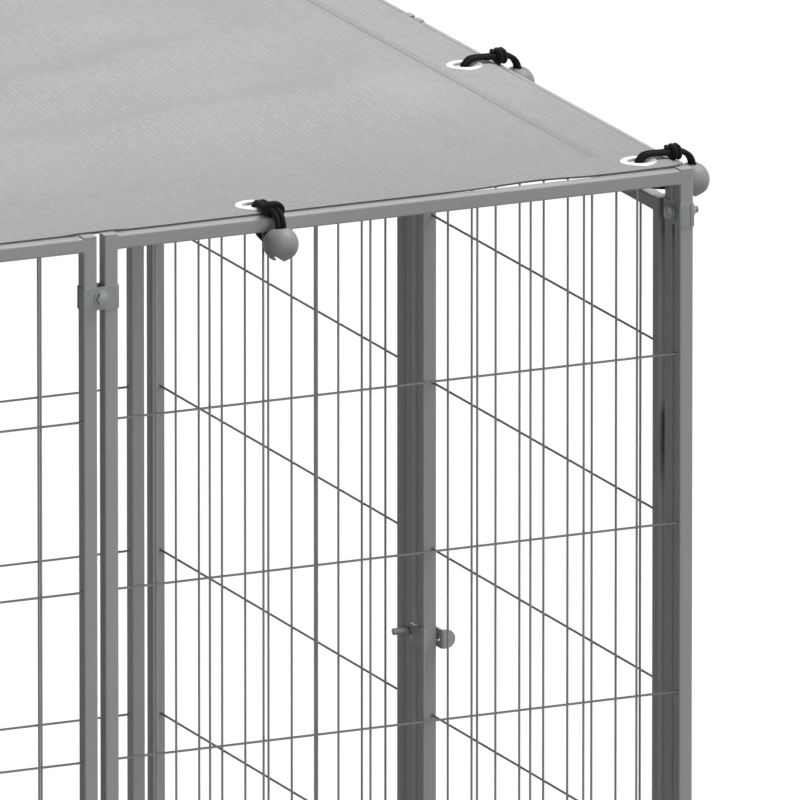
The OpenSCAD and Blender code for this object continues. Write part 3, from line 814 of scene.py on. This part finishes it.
# Low folds in the sheet: middle x and y of the crest, reach along x, front and back slope,
# share of the tallest fold's height, slant
FOLDS = (
    (240, -216, 130, 68, 36, 1.0, -0.03),
    (262, -114, 80, 50, 32, 0.6, 0.12),
    (160, -52, 75, 60, 32, 0.7, 0.0),
    (316, 0, 120, 60, 38, 0.75, -0.15),
    (243, 122, 95, 70, 38, 0.75, 0.03),
    (418, -190, 85, 90, 60, 1.0, 0.0),
    (30, -455, 150, 60, 36, 0.6, 0.04),
    (-60, -250, 120, 75, 45, 0.9, 0.05),
    (-210, -120, 140, 70, 40, 1.0, -0.04),
    (-330, -330, 110, 65, 42, 0.7, 0.08),
    (-20, 60, 130, 70, 42, 0.8, 0.02),
    (-150, 230, 140, 75, 45, 1.0, -0.03),
    (260, 310, 130, 70, 46, 0.8, -0.06),
    (-330, 90, 100, 65, 40, 0.7, 0.06),
    (-300, 380, 120, 65, 42, 0.7, 0.05),
)
# Width of the step down from the hem, soft where the side hems are folded and sharp
# where front and back are bonded
FOLDED_STEP = 1.8
BONDED_STEP = 0.15
# Inward pull of the edge between its ties, negative where it bulges out: front, right, back, left wall
PULLS = ((-0.6, -0.8, 5.5), (-0.5, -0.8, -0.5), (-0.6, -0.5, 3.0), (-0.8, -0.5, -0.6))
# Reach of that pull into the sheet, and the share of it by which the edge is lifted
PULL_REACH = 60
PULL_LIFT = 0.05
# Square block of cells round a grommet: its size, its cells a side and the radius of its hole
BLOCK = 34.5
BLOCK_CELLS = 4
HOLE_R = 11.05
# Width of the rim along the cut edge on top that gets painted shade, gap between cloth and rail, and how far
# up a face of the edge may face at most to get that painted shade
SHADED_RIM = 0.7
REST_GAP = 0.08
EDGE_FACING = 0.4
# Width of the rim that stays flat, and of the border in which sag and folds set in
FLAT_RIM = 45
SAG_BORDER = 120
# Radius and fade of the lift over a post's cap and over a grommet's washer, margins of cap and rim
CAP_HOLD = (8.0, 5.0)
EYE_HOLD = (16.5, 7.0)
CAP_MARGIN = 0.3
RIM_MARGIN = 0.8
# Hem's stitches: distance from the hem's inner edge, thread's radius and sides, space at each end as a share
# of a stitch, walls that have them, and the thread's height over the cloth along a stitch
SEAM_IN = 4
YARN_R = 0.2
YARN_SIDES = 6
STITCH_GAP = 0.1
SEWN_WALLS = (1, 3)
STITCH_ARCH = (-0.25, 0.08, 0.16, 0.08, -0.25)


class KENNEL_OT_roof_sheet(bpy.types.Operator):
    """Cuts the roof sheet with its hem and holes, lets it fold and sag, and sews the hem"""

    bl_idname = "kennel.roof_sheet"
    bl_label = "Make the Roof Sheet"

    def execute(self, context):
        look = context.scene.kennel_roof
        self.look = look
        self.reach = (mm(ROOF_HIGH.x), mm(ROOF_HIGH.y))
        # Middle, radius and fade of the caps and grommets that keep the sheet off the rails
        ends = (TUBE / 2, PANEL_W - TUBE / 2)
        posts = [wall_place(wall, STARTS[half] + end, TUBE / 2) for _, wall, half in PANELS for end in ends]
        self.caps = [(mm(p.translation.x), mm(p.translation.y)) for p in posts]
        self.holds = [(x, y, *CAP_HOLD) for x, y in self.caps]
        eyes = [wall_place(wall, x, GROMMET_IN) for wall in WALLS for x in TIES]
        self.holds += [(mm(p.translation.x), mm(p.translation.y), *EYE_HOLD) for p in eyes]
        cloth = coated_oxford_polyester("coated_oxford_polyester", look.cloth_colour, look.shade_colour)
        sheet = Shape()
        self.surface(sheet)
        made = sheet.piece("roof_cloth", cloth, "cage", "roof_fabric")
        # The cut edges and the thin rim along them get painted shade, made with the thread's material
        made.data.materials.append(spun_thread("cut_polyester_edge", look.cut_edge_shade_colour))
        # The inner fold of the side hems gets painted shade, made with the thread's material
        made.data.materials.append(spun_thread("folded_polyester_hem", look.fold_shade_colour))
        for face in made.data.polygons:
            border = max(abs(face.center.x) / MM - self.reach[0], abs(face.center.y) / MM - self.reach[1])
            # Painted shade on the sideways-facing cut edges and on the thin rim along the sheet's edge
            face.material_index = int(abs(face.normal.z) < EDGE_FACING or border > -SHADED_RIM)
            # Painted shade on the step down from the side hems' inner edge
            inside = self.reach[0] - self.look.hem_width - abs(face.center.x) / MM
            if 0 < inside < FOLDED_STEP and abs(face.center.y) / MM < self.reach[1] - self.look.hem_width:
                face.material_index = 2
        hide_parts("roof_sheet")
        thread = spun_thread("spun_polyester_thread", look.thread_colour)
        seam = Shape()
        self.sew(seam)
        stitches = seam.piece("hem_stitches", thread, "cage", "roof_fabric")
        return {"FINISHED"}

    def lines(self, reach, step):
        """Grid lines across the sheet, close at the hem with its step and at the grommets."""
        hem = reach - self.look.hem_width
        ahead = HALF - GROMMET_IN
        breaks = [-reach, SHADED_RIM - reach, -ahead - BLOCK / 2, -ahead + BLOCK / 2, -hem, -hem + step]
        breaks += [TIES[1] - BLOCK / 2, TIES[1] + BLOCK / 2]
        breaks += [-b for b in reversed(breaks)]
        lines = [breaks[0]]
        for a, b in zip(breaks, breaks[1:]):
            is_block = abs(b - a - BLOCK) < SNAP
            count = BLOCK_CELLS if is_block else max(1, round((b - a) / self.look.cell))
            lines += [a + (b - a) * (i + 1) / count for i in range(count)]
        return lines

    def thickness(self, x, y):
        """Two layers at the hem, one inside it."""
        near = min(self.reach[0] - abs(x), self.reach[1] - abs(y))
        return self.look.hem if near <= self.look.hem_width + SNAP else self.look.cloth

    def pulled(self, x, y):
        """Where a point of the flat cut lies on the run, and how far its edge is lifted."""
        out_x, out_y, lift = x, y, 0.0
        spots = [*TIES, -TIES[0]]
        for wall in WALLS:
            turn = math.pi / 2 * wall
            along = x * math.cos(turn) + y * math.sin(turn)
            across = -x * math.sin(turn) + y * math.cos(turn)
            edge = across + self.reach[1 - wall % 2]
            for i, pull in enumerate(PULLS[wall]):
                if spots[i] <= along <= spots[i + 1]:
                    share = (along - spots[i]) / (spots[i + 1] - spots[i])
                    # Most of the pull lies in the second half of the way between two ties
                    swell = math.sin(math.pi * share**2) ** 8 * math.exp(-((edge / PULL_REACH) ** 2))
                    out_x += -math.sin(turn) * pull * swell
                    out_y += math.cos(turn) * pull * swell
                    lift += PULL_LIFT * max(0.0, pull) * swell
        return out_x, out_y, lift

    def height(self, x, y):
        """Underside of the sheet: on rails, caps and washers at the edge, with sag and folds inside."""
        hold = 0.0
        for mid_x, mid_y, radius, fade in self.holds:
            away = max(0.0, math.hypot(x - mid_x, y - mid_y) - radius)
            hold = max(hold, math.exp(-((away / fade) ** 2)))
        rim = min(self.reach[0] - abs(x), self.reach[1] - abs(y))
        inside = max(0.0, min(1.0, (rim - FLAT_RIM) / SAG_BORDER))
        inside = inside * inside * (3 - 2 * inside)
        bowl = (1 - (x / self.reach[0]) ** 2) * (1 - (y / self.reach[1]) ** 2)
        z = -self.look.sag * bowl * inside
        for mid_x, mid_y, reach, front, back, share, slant in FOLDS:
            dx = x - mid_x
            dy = y - mid_y + slant * dx
            slope = back if dy > 0 else front
            z += inside * self.look.fold * share * math.exp(-((dx / reach) ** 2) - (dy / slope) ** 2)
        rest = RAIL_TOP + REST_GAP
        return rest + (ROOF_Z - rest) * hold + z

    def at(self, x, y, top):
        """Place in metres of a point of the flat cut, on the upper or the lower side."""
        out_x, out_y, lift = self.pulled(x, y)
        z = self.height(x, y) + lift + (self.thickness(x, y) if top else 0.0)
        on_cap = any(max(abs(x - a), abs(y - b)) < TUBE / 2 + CAP_MARGIN for a, b in self.caps)
        rim = min(self.reach[0] - abs(x), self.reach[1] - abs(y))
        if not top and not on_cap and rim < RIM_MARGIN:
            z = RAIL_TOP + REST_GAP + lift
        return out_x * MM, out_y * MM, z * MM

    def surface(self, shape):
        """Both sides of the sheet as a grid with round holes, joined at the edges."""
        xs, ys = self.lines(self.reach[0], FOLDED_STEP), self.lines(self.reach[1], BONDED_STEP)
        ahead = HALF - GROMMET_IN
        spots = [(sx * ahead, sy * ahead) for sx in (-1, 1) for sy in (-1, 1)]
        spots += [(sx * TIES[1], sy * ahead) for sx in (-1, 1) for sy in (-1, 1)]
        spots += [(sx * ahead, sy * TIES[1]) for sx in (-1, 1) for sy in (-1, 1)]
        nx, ny = len(xs), len(ys)
        flat = [(x, y) for y in ys for x in xs]
        faces = []
        walls = []
        taken = set()
        for sx, sy in spots:
            i0 = min(range(nx), key=lambda i: abs(xs[i] - sx + BLOCK / 2))
            j0 = min(range(ny), key=lambda j: abs(ys[j] - sy + BLOCK / 2))
            i1, j1 = i0 + BLOCK_CELLS, j0 + BLOCK_CELLS
            cells = range(BLOCK_CELLS)
            taken.update((i0 + a, j0 + b) for a in cells for b in cells)
            rim = [(i0 + a, j0) for a in cells] + [(i1, j0 + b) for b in cells]
            rim += [(i1 - a, j1) for a in cells] + [(i0, j1 - b) for b in cells]
            rim = [j * nx + i for i, j in rim]
            start = len(flat)
            for index in rim:
                turn = math.atan2(flat[index][1] - sy, flat[index][0] - sx)
                flat.append((sx + HOLE_R * math.cos(turn), sy + HOLE_R * math.sin(turn)))
            for k in range(len(rim)):
                n = (k + 1) % len(rim)
                faces.append((rim[k], rim[n], start + n, start + k))
                walls.append((start + n, start + k))
        for j in range(ny - 1):
            for i in range(nx - 1):
                if (i, j) not in taken:
                    a = j * nx + i
                    faces.append((a, a + 1, a + nx + 1, a + nx))
        border = list(range(nx)) + [j * nx + nx - 1 for j in range(1, ny)]
        border += [(ny - 1) * nx + i for i in range(nx - 2, -1, -1)] + [j * nx for j in range(ny - 2, 0, -1)]
        walls += list(zip(border, border[1:] + border[:1]))
        used = sorted({i for face in faces for i in face})
        row = {index: n for n, index in enumerate(used)}
        count = len(used)
        points = [self.at(*flat[i], True) for i in used] + [self.at(*flat[i], False) for i in used]
        tops = [tuple(row[i] for i in face) for face in faces]
        unders = [tuple(count + row[i] for i in reversed(face)) for face in faces]
        sides = [(row[a], count + row[a], count + row[b], row[b]) for a, b in walls]
        shape.add(points, tops + unders + sides)

    def sew(self, shape):
        """Single stitches just outside the inner edge of the two side hems; front and back are bonded."""
        inset = self.look.hem_width - SEAM_IN
        pitch = self.look.stitch
        for side in SEWN_WALLS:
            across = self.reach[1 - side % 2] - inset
            run = self.reach[side % 2] - inset
            turn = math.pi / 2 * side
            count = int(2 * run // pitch)
            for i in range(count):
                line = []
                for step, arch in enumerate(STITCH_ARCH):
                    share = STITCH_GAP + (1 - 2 * STITCH_GAP) * step / (len(STITCH_ARCH) - 1)
                    along = -run + (i + share) * pitch
                    x = along * math.cos(turn) + across * math.sin(turn)
                    y = along * math.sin(turn) - across * math.cos(turn)
                    px, py, pz = self.at(x, y, True)
                    line.append(Vector((px / MM, py / MM, pz / MM + arch)))
                shape.add(*sweep(line, YARN_R, YARN_SIDES), Matrix.Scale(MM, 4))


# Rolled eyelet: radius and height over the hem along its roll, and its neck's radii, lower end and steps
EYELET_ROLL = (
    (10.0, 0.1),
    (10.15, 0.55),
    (10.7, 1.0),
    (11.6, 1.3),
    (12.8, 1.38),
    (14.1, 1.2),
    (15.2, 0.78),
    (15.85, 0.35),
    (16.0, 0.04),
    (15.5, 0.02),
    (13.5, 0.4),
    (11.0, 0.2),
)
NECK_IN = 10.0
NECK_OUT = 10.95
NECK_LOW = -1.0
EYELET_STEPS = 48


class KENNEL_OT_grommets(bpy.types.Operator):
    """Rolls the eyelets and finishes the washers below the roof"""

    bl_idname = "kennel.grommets"
    bl_label = "Make the Grommets"

    def execute(self, context):
        look = context.scene.kennel_roof
        metal = nickel_plated_brass("nickel_plated_brass", look.metal_colour)
        finish(["grommet_washers"], metal, edge=0.3)
        roll = [(radius, look.hem + height) for radius, height in EYELET_ROLL]
        eyelet = lathe([(NECK_IN, NECK_LOW), *roll, (NECK_OUT, NECK_LOW)], EYELET_STEPS, closed=True)
        rolled = Shape()
        for wall in WALLS:
            for x in TIES:
                rolled.add(*eyelet, wall_place(wall, x, GROMMET_IN, ROOF_Z))
        made = rolled.piece("rolled_eyelets", metal, "cage", "grommet_metal")
        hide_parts("grommet_eyelets")
        return {"FINISHED"}


# Ball's mouth: polar angle of its points and depth of the notches in degrees, and the notches' curve
POINT_ANGLE = 158
NOTCH_DEEP = 38
NOTCH_CURVE = 0.9
# Slot towards the rail: half its width, and the polar angle of its upper end
SLOT_HALF = 5.6
SLOT_TOP = math.radians(81)
# Oval hole for the strands, as sines of its polar angle along and across the wall
HOLE_ALONG = 0.40
HOLE_ACROSS = 0.30
# Points round the ball and from hole to mouth, and the rounding of its edges
BALL_STEPS = 128
BALL_ROWS = 26
LIP_HIGH = 0.6
LIP_TURNS = (0.8, 1.57, 2.35)
# Cord: start of a strand inside the ball, step along it, points of the bight, and its braid's carriers, lay,
# relief and set-in
CORD_START = (-16, -15)
CORD_STEP = 1.1
BIGHT_STEPS = 6
CARRIERS = 4
LAY = 6.5
BRAID_HIGH = 0.13
BRAID_IN = 0.08
# Hitch: height over the rail, middle and length across the wall, lean of its turns; half turns, steps of
# its way and of a tucked end, sides; its braid's lay, relief and set-in
HITCH_Z = 7.0
HITCH_Y = 0.7
HITCH_LONG = 9.6
HITCH_LEAN = 0.8
HALF_TURNS = 5
HITCH_STEPS = 100
TUCK_STEPS = 6
HITCH_SIDES = 14
HITCH_LAY = 5
HITCH_HIGH = 0.09
HITCH_IN = 0.05
# Knot of the cord's ends: size, place from the ball's middle; rise of crossings, cord's radius, steps, sides
KNOT_SIZE = 1.5
KNOT_Y = -3.0
KNOT_Z = 2.2
KNOT_RISE = 1.7
KNOT_R = 1.7
KNOT_STEPS = 72
KNOT_SIDES = 10


class KENNEL_OT_ball_ties(bpy.types.Operator):
    """Makes the notched balls, the braided cord loops and their hitches"""

    bl_idname = "kennel.ball_ties"
    bl_label = "Make the Ball Ties"

    def execute(self, context):
        look = context.scene.kennel_ties
        plastic = moulded_plastic("moulded_polyethylene_ball", look.ball_colour, grit=0.9)
        elastic = braided_elastic("braided_elastic_cord", look.cord_colour)
        ball = self.ball(look)
        loop = self.loop(look)
        turns = self.hitch(look)
        knot = self.knot()
        balls, cords, hitches, knots = Shape(), Shape(), Shape(), Shape()
        for wall in WALLS:
            for x in TIES:
                place = wall_place(wall, x + TIE_SHIFT, 0.0, RAIL_TOP)
                centre = place @ Matrix.Translation((0, BALL_AT[0], BALL_AT[1]))
                balls.add(*ball, centre)
                cords.add(*loop, place)
                hitches.add(*turns, place)
                knots.add(*knot, centre)
        shell = balls.piece("notched_balls", plastic, "cage", "ball_plastic")
        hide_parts("bungee_balls")
        strands = cords.piece("braided_cord_loops", elastic, "cage", "cord_elastic")
        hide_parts("bungee_cords")
        wraps = hitches.piece("cord_hitches", elastic, "cage", "cord_elastic")
        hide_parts("bungee_hitches")
        knots.piece("cord_end_knots", elastic, "cage", "cord_elastic")
        return {"FINISHED"}

    def rim_angle(self, turn, r):
        """Angle from the top where the ball ends: points and notches below, a slot towards the rail."""
        quarter = (turn + math.pi / 4) % (math.pi / 2) - math.pi / 4
        deep = abs(quarter) / (math.pi / 4)
        crown = math.radians(POINT_ANGLE - NOTCH_DEEP * deep**NOTCH_CURVE)
        if math.sin(turn) <= 0:
            return crown
        side = abs(math.sin(turn - math.pi / 2))
        if side * r < SLOT_HALF:
            return min(crown, SLOT_TOP)
        return min(crown, max(SLOT_TOP, math.pi - math.asin(min(1.0, SLOT_HALF / (r * side)))))

    def ball(self, look):
        """Shell with a hole on top for the strands and rounded edges, about its own centre."""
        r, inner = look.ball / 2, look.ball / 2 - look.wall
        mid = (r + inner) / 2
        edge = look.wall / 2
        lip = [(edge * math.cos(a), edge * LIP_HIGH * math.sin(a) / mid) for a in LIP_TURNS]
        shares = [i / BALL_ROWS for i in range(BALL_ROWS + 1)]
        points = []
        for k in range(BALL_STEPS):
            turn = 2 * math.pi * k / BALL_STEPS
            hole = math.asin(1 / math.hypot(math.cos(turn) / HOLE_ALONG, math.sin(turn) / HOLE_ACROSS))
            low = self.rim_angle(turn, r)
            loop = [(r, hole + (low - hole) * share) for share in shares]
            loop += [(mid + out, low + down) for out, down in lip]
            loop += [(inner, low - (low - hole) * share) for share in shares]
            loop += [(mid - out, hole - down) for out, down in lip]
            for reach, polar in loop:
                flat = reach * math.sin(polar)
                points.append((flat * math.cos(turn), flat * math.sin(turn), reach * math.cos(polar)))
        return points, ring_faces(BALL_STEPS, len(loop), closed=True)

    def loop(self, look):
        """One cord: up from the ball, over the rail, through the grommet, under the rail and back."""
        there = [Vector((-STRAND, a, b)) for a, b in (CORD_START, *CORD_ROUTE)]
        bight = []
        end_a, end_b = CORD_ROUTE[-1]
        for k in range(1, BIGHT_STEPS):
            turn = math.pi * k / BIGHT_STEPS
            bight.append(Vector((-STRAND * math.cos(turn), end_a - STRAND * math.sin(turn), end_b)))
        back = [Vector((-p.x, p.y, p.z)) for p in reversed(there)]
        way = smooth_way(there + bight + back, CORD_STEP)

        def braid(run, turn):
            wave = 2 * math.pi * run / LAY
            crossing = math.sin(CARRIERS * turn + wave) * math.sin(CARRIERS * turn - wave)
            return BRAID_HIGH * crossing - BRAID_IN

        return sweep(way, look.cord / 2, look.sides, braid)

    def hitch(self, look):
        """Two and a half turns of cord round both strands on top of the rail, with tucked ends."""
        reach = look.cord / 2 + look.hitch / 2
        way = []
        for i in range(HITCH_STEPS + 1):
            turn = HALF_TURNS * math.pi * i / HITCH_STEPS - math.pi / 2
            tuck = 0.5 + 0.5 * min(1.0, i / TUCK_STEPS, (HITCH_STEPS - i) / TUCK_STEPS)
            swing = math.cos(turn)
            x = reach * swing + math.copysign(STRAND, swing) * min(1.0, abs(swing) * 3)
            y = HITCH_Y + HITCH_LONG * (i / HITCH_STEPS - 0.5) + HITCH_LEAN * math.sin(turn)
            way.append(Vector((x, y, HITCH_Z + reach * math.sin(turn) * tuck)))

        def braid(run, turn):
            return HITCH_HIGH * math.sin(CARRIERS * turn) * math.sin(2 * math.pi * run / HITCH_LAY) - HITCH_IN

        return sweep(way, look.hitch / 2, HITCH_SIDES, braid)

    def knot(self):
        """The knot of the two cord ends inside the ball, a trefoil."""
        way = []
        for i in range(KNOT_STEPS + 1):
            t = 2 * math.pi * i / KNOT_STEPS
            x = KNOT_SIZE * (math.sin(t) + 2 * math.sin(2 * t))
            y = KNOT_SIZE * (math.cos(t) - 2 * math.cos(2 * t))
            way.append(Vector((x, y + KNOT_Y, KNOT_Z - KNOT_RISE * math.sin(3 * t))))
        return sweep(way, KNOT_R, KNOT_SIDES)


# Floor: half its size and its height in metres, and its tone for the light that it throws back
FLOOR_HALF = 30.0
FLOOR_Z = -0.0005
FLOOR_BOUNCE = "#4a4a4a"
# Name of each light, its strength among the settings, and the direction from the run towards it
LIGHTS = (
    ("top_key", "key", (0.5, -0.1, 0.86)),
    ("front_fill", "front", (-0.05, -0.97, 0.12)),
    ("rear_fill", "rear", (0.1, 0.9, 0.42)),
)
# Camera: the place it looks at and its farthest sight in metres, and its sensor's width in mm
AIM = (0.2881, -0.56325, 0.9254)
CLIP_END = 200.0
SENSOR = 36.0


class KENNEL_OT_studio(bpy.types.Operator):
    """Lays the floor, sets the light and places the camera"""

    bl_idname = "kennel.studio"
    bl_label = "Set the Studio"

    def execute(self, context):
        look = context.scene.kennel_studio
        scene = context.scene
        scene.view_settings.view_transform = "Standard"
        self.floor(look)
        self.sky(scene, look)
        self.lights(look)
        self.camera(scene, look)
        return {"FINISHED"}

    def seen(self, tree):
        """1 for rays that show the background: from the camera, a gloss or clear material."""
        path = node(tree, "ShaderNodeLightPath")
        both = {0: path.outputs["Is Camera Ray"], 1: path.outputs["Is Glossy Ray"]}
        part = node(tree, "ShaderNodeMath", {"operation": "MAXIMUM"}, both)
        clear = {0: part.outputs[0], 1: path.outputs["Is Transmission Ray"]}
        return node(tree, "ShaderNodeMath", {"operation": "MAXIMUM"}, clear).outputs[0]

    def floor(self, look):
        """A floor that looks white and throws little light back at the run."""
        paper = bpy.data.materials.new("matt_studio_paper")
        paper.use_nodes = True
        tree = paper.node_tree
        tree.nodes.clear()
        pale = node(tree, "ShaderNodeBsdfDiffuse", {"Color": look.floor_colour})
        dull = node(tree, "ShaderNodeBsdfDiffuse", {"Color": linear(FLOOR_BOUNCE)})
        links = {0: self.seen(tree), 1: dull.outputs[0], 2: pale.outputs[0]}
        mixed = node(tree, "ShaderNodeMixShader", None, links)
        node(tree, "ShaderNodeOutputMaterial", None, {"Surface": mixed.outputs[0]})
        mesh = bpy.data.meshes.new("studio_floor")
        corners = ((-1, -1), (1, -1), (1, 1), (-1, 1))
        points = [(x * FLOOR_HALF, y * FLOOR_HALF, FLOOR_Z) for x, y in corners]
        mesh.from_pydata(points, [], [(0, 1, 2, 3)])
        mesh.materials.append(paper)
        made = add_object("studio_floor", mesh)

    def sky(self, scene, look):
        """A world that looks white and adds a weak even light."""
        world = bpy.data.worlds.new("studio_white")
        world.use_nodes = True
        tree = world.node_tree
        tree.nodes.clear()
        even = node(tree, "ShaderNodeBackground", {"Color": (1, 1, 1, 1), "Strength": look.fill})
        white = node(tree, "ShaderNodeBackground", {"Color": (1, 1, 1, 1), "Strength": 1.0})
        links = {0: self.seen(tree), 1: even.outputs[0], 2: white.outputs[0]}
        mixed = node(tree, "ShaderNodeMixShader", None, links)
        node(tree, "ShaderNodeOutputWorld", None, {"Surface": mixed.outputs[0]})
        scene.world = world

    def lights(self, look):
        """Wide lights from above, from the front and from behind."""
        for name, setting, towards in LIGHTS:
            light = bpy.data.lights.new(name, "SUN")
            light.energy = getattr(look, setting)
            light.angle = look.softness
            look_back(add_object(name, light), Vector(towards))

    def camera(self, scene, look):
        """A long lens, so far off that the view is nearly parallel."""
        flat = math.cos(look.elevation)
        aside, ahead = math.sin(look.azimuth) * flat, -math.cos(look.azimuth) * flat
        back = Vector((aside, ahead, math.sin(look.elevation)))
        lens = bpy.data.cameras.new("long_lens")
        lens.lens = look.lens
        lens.sensor_width = SENSOR
        lens.clip_end = CLIP_END
        made = add_object("long_lens", lens)
        made.location = Vector(AIM) + back * (look.view_width * look.lens / lens.sensor_width)
        look_back(made, back)
        scene.camera = made


class KENNEL_PT_dressing(bpy.types.Panel):
    """Lists the steps and the values they use"""

    bl_idname = "KENNEL_PT_dressing"
    bl_label = "Kennel Run"
    bl_space_type = "VIEW_3D"
    bl_region_type = "UI"
    bl_category = "Kennel"

    def draw(self, context):
        for group in GROUPS:
            settings = getattr(context.scene, group)
            box = self.layout.box()
            for name in settings.__annotations__:
                box.prop(settings, name)
        for step in STEPS:
            self.layout.operator(step.bl_idname)


GROUPS = {
    "kennel_frame": FrameFinish,
    "kennel_roof": RoofFinish,
    "kennel_ties": TieFinish,
    "kennel_studio": StudioLook,
}
STEPS = (
    KENNEL_OT_studio,
    KENNEL_OT_frame_coat,
    KENNEL_OT_wire_welds,
    KENNEL_OT_clamps,
    KENNEL_OT_door_hardware,
    KENNEL_OT_roof_sheet,
    KENNEL_OT_grommets,
    KENNEL_OT_ball_ties,
)


def register():
    for name, group in GROUPS.items():
        bpy.utils.register_class(group)
        setattr(bpy.types.Scene, name, PointerProperty(type=group))
    for step in STEPS:
        bpy.utils.register_class(step)
    bpy.utils.register_class(KENNEL_PT_dressing)


def unregister():
    bpy.utils.unregister_class(KENNEL_PT_dressing)
    for step in reversed(STEPS):
        bpy.utils.unregister_class(step)
    for name, group in reversed(GROUPS.items()):
        delattr(bpy.types.Scene, name)
        bpy.utils.unregister_class(group)


def main():
    register()
    bpy.ops.kennel.studio()
    bpy.ops.kennel.frame_coat()
    bpy.ops.kennel.wire_welds()
    bpy.ops.kennel.clamps()
    bpy.ops.kennel.door_hardware()
    bpy.ops.kennel.roof_sheet()
    bpy.ops.kennel.grommets()
    bpy.ops.kennel.ball_ties()


if __name__ == "__main__":
    main()
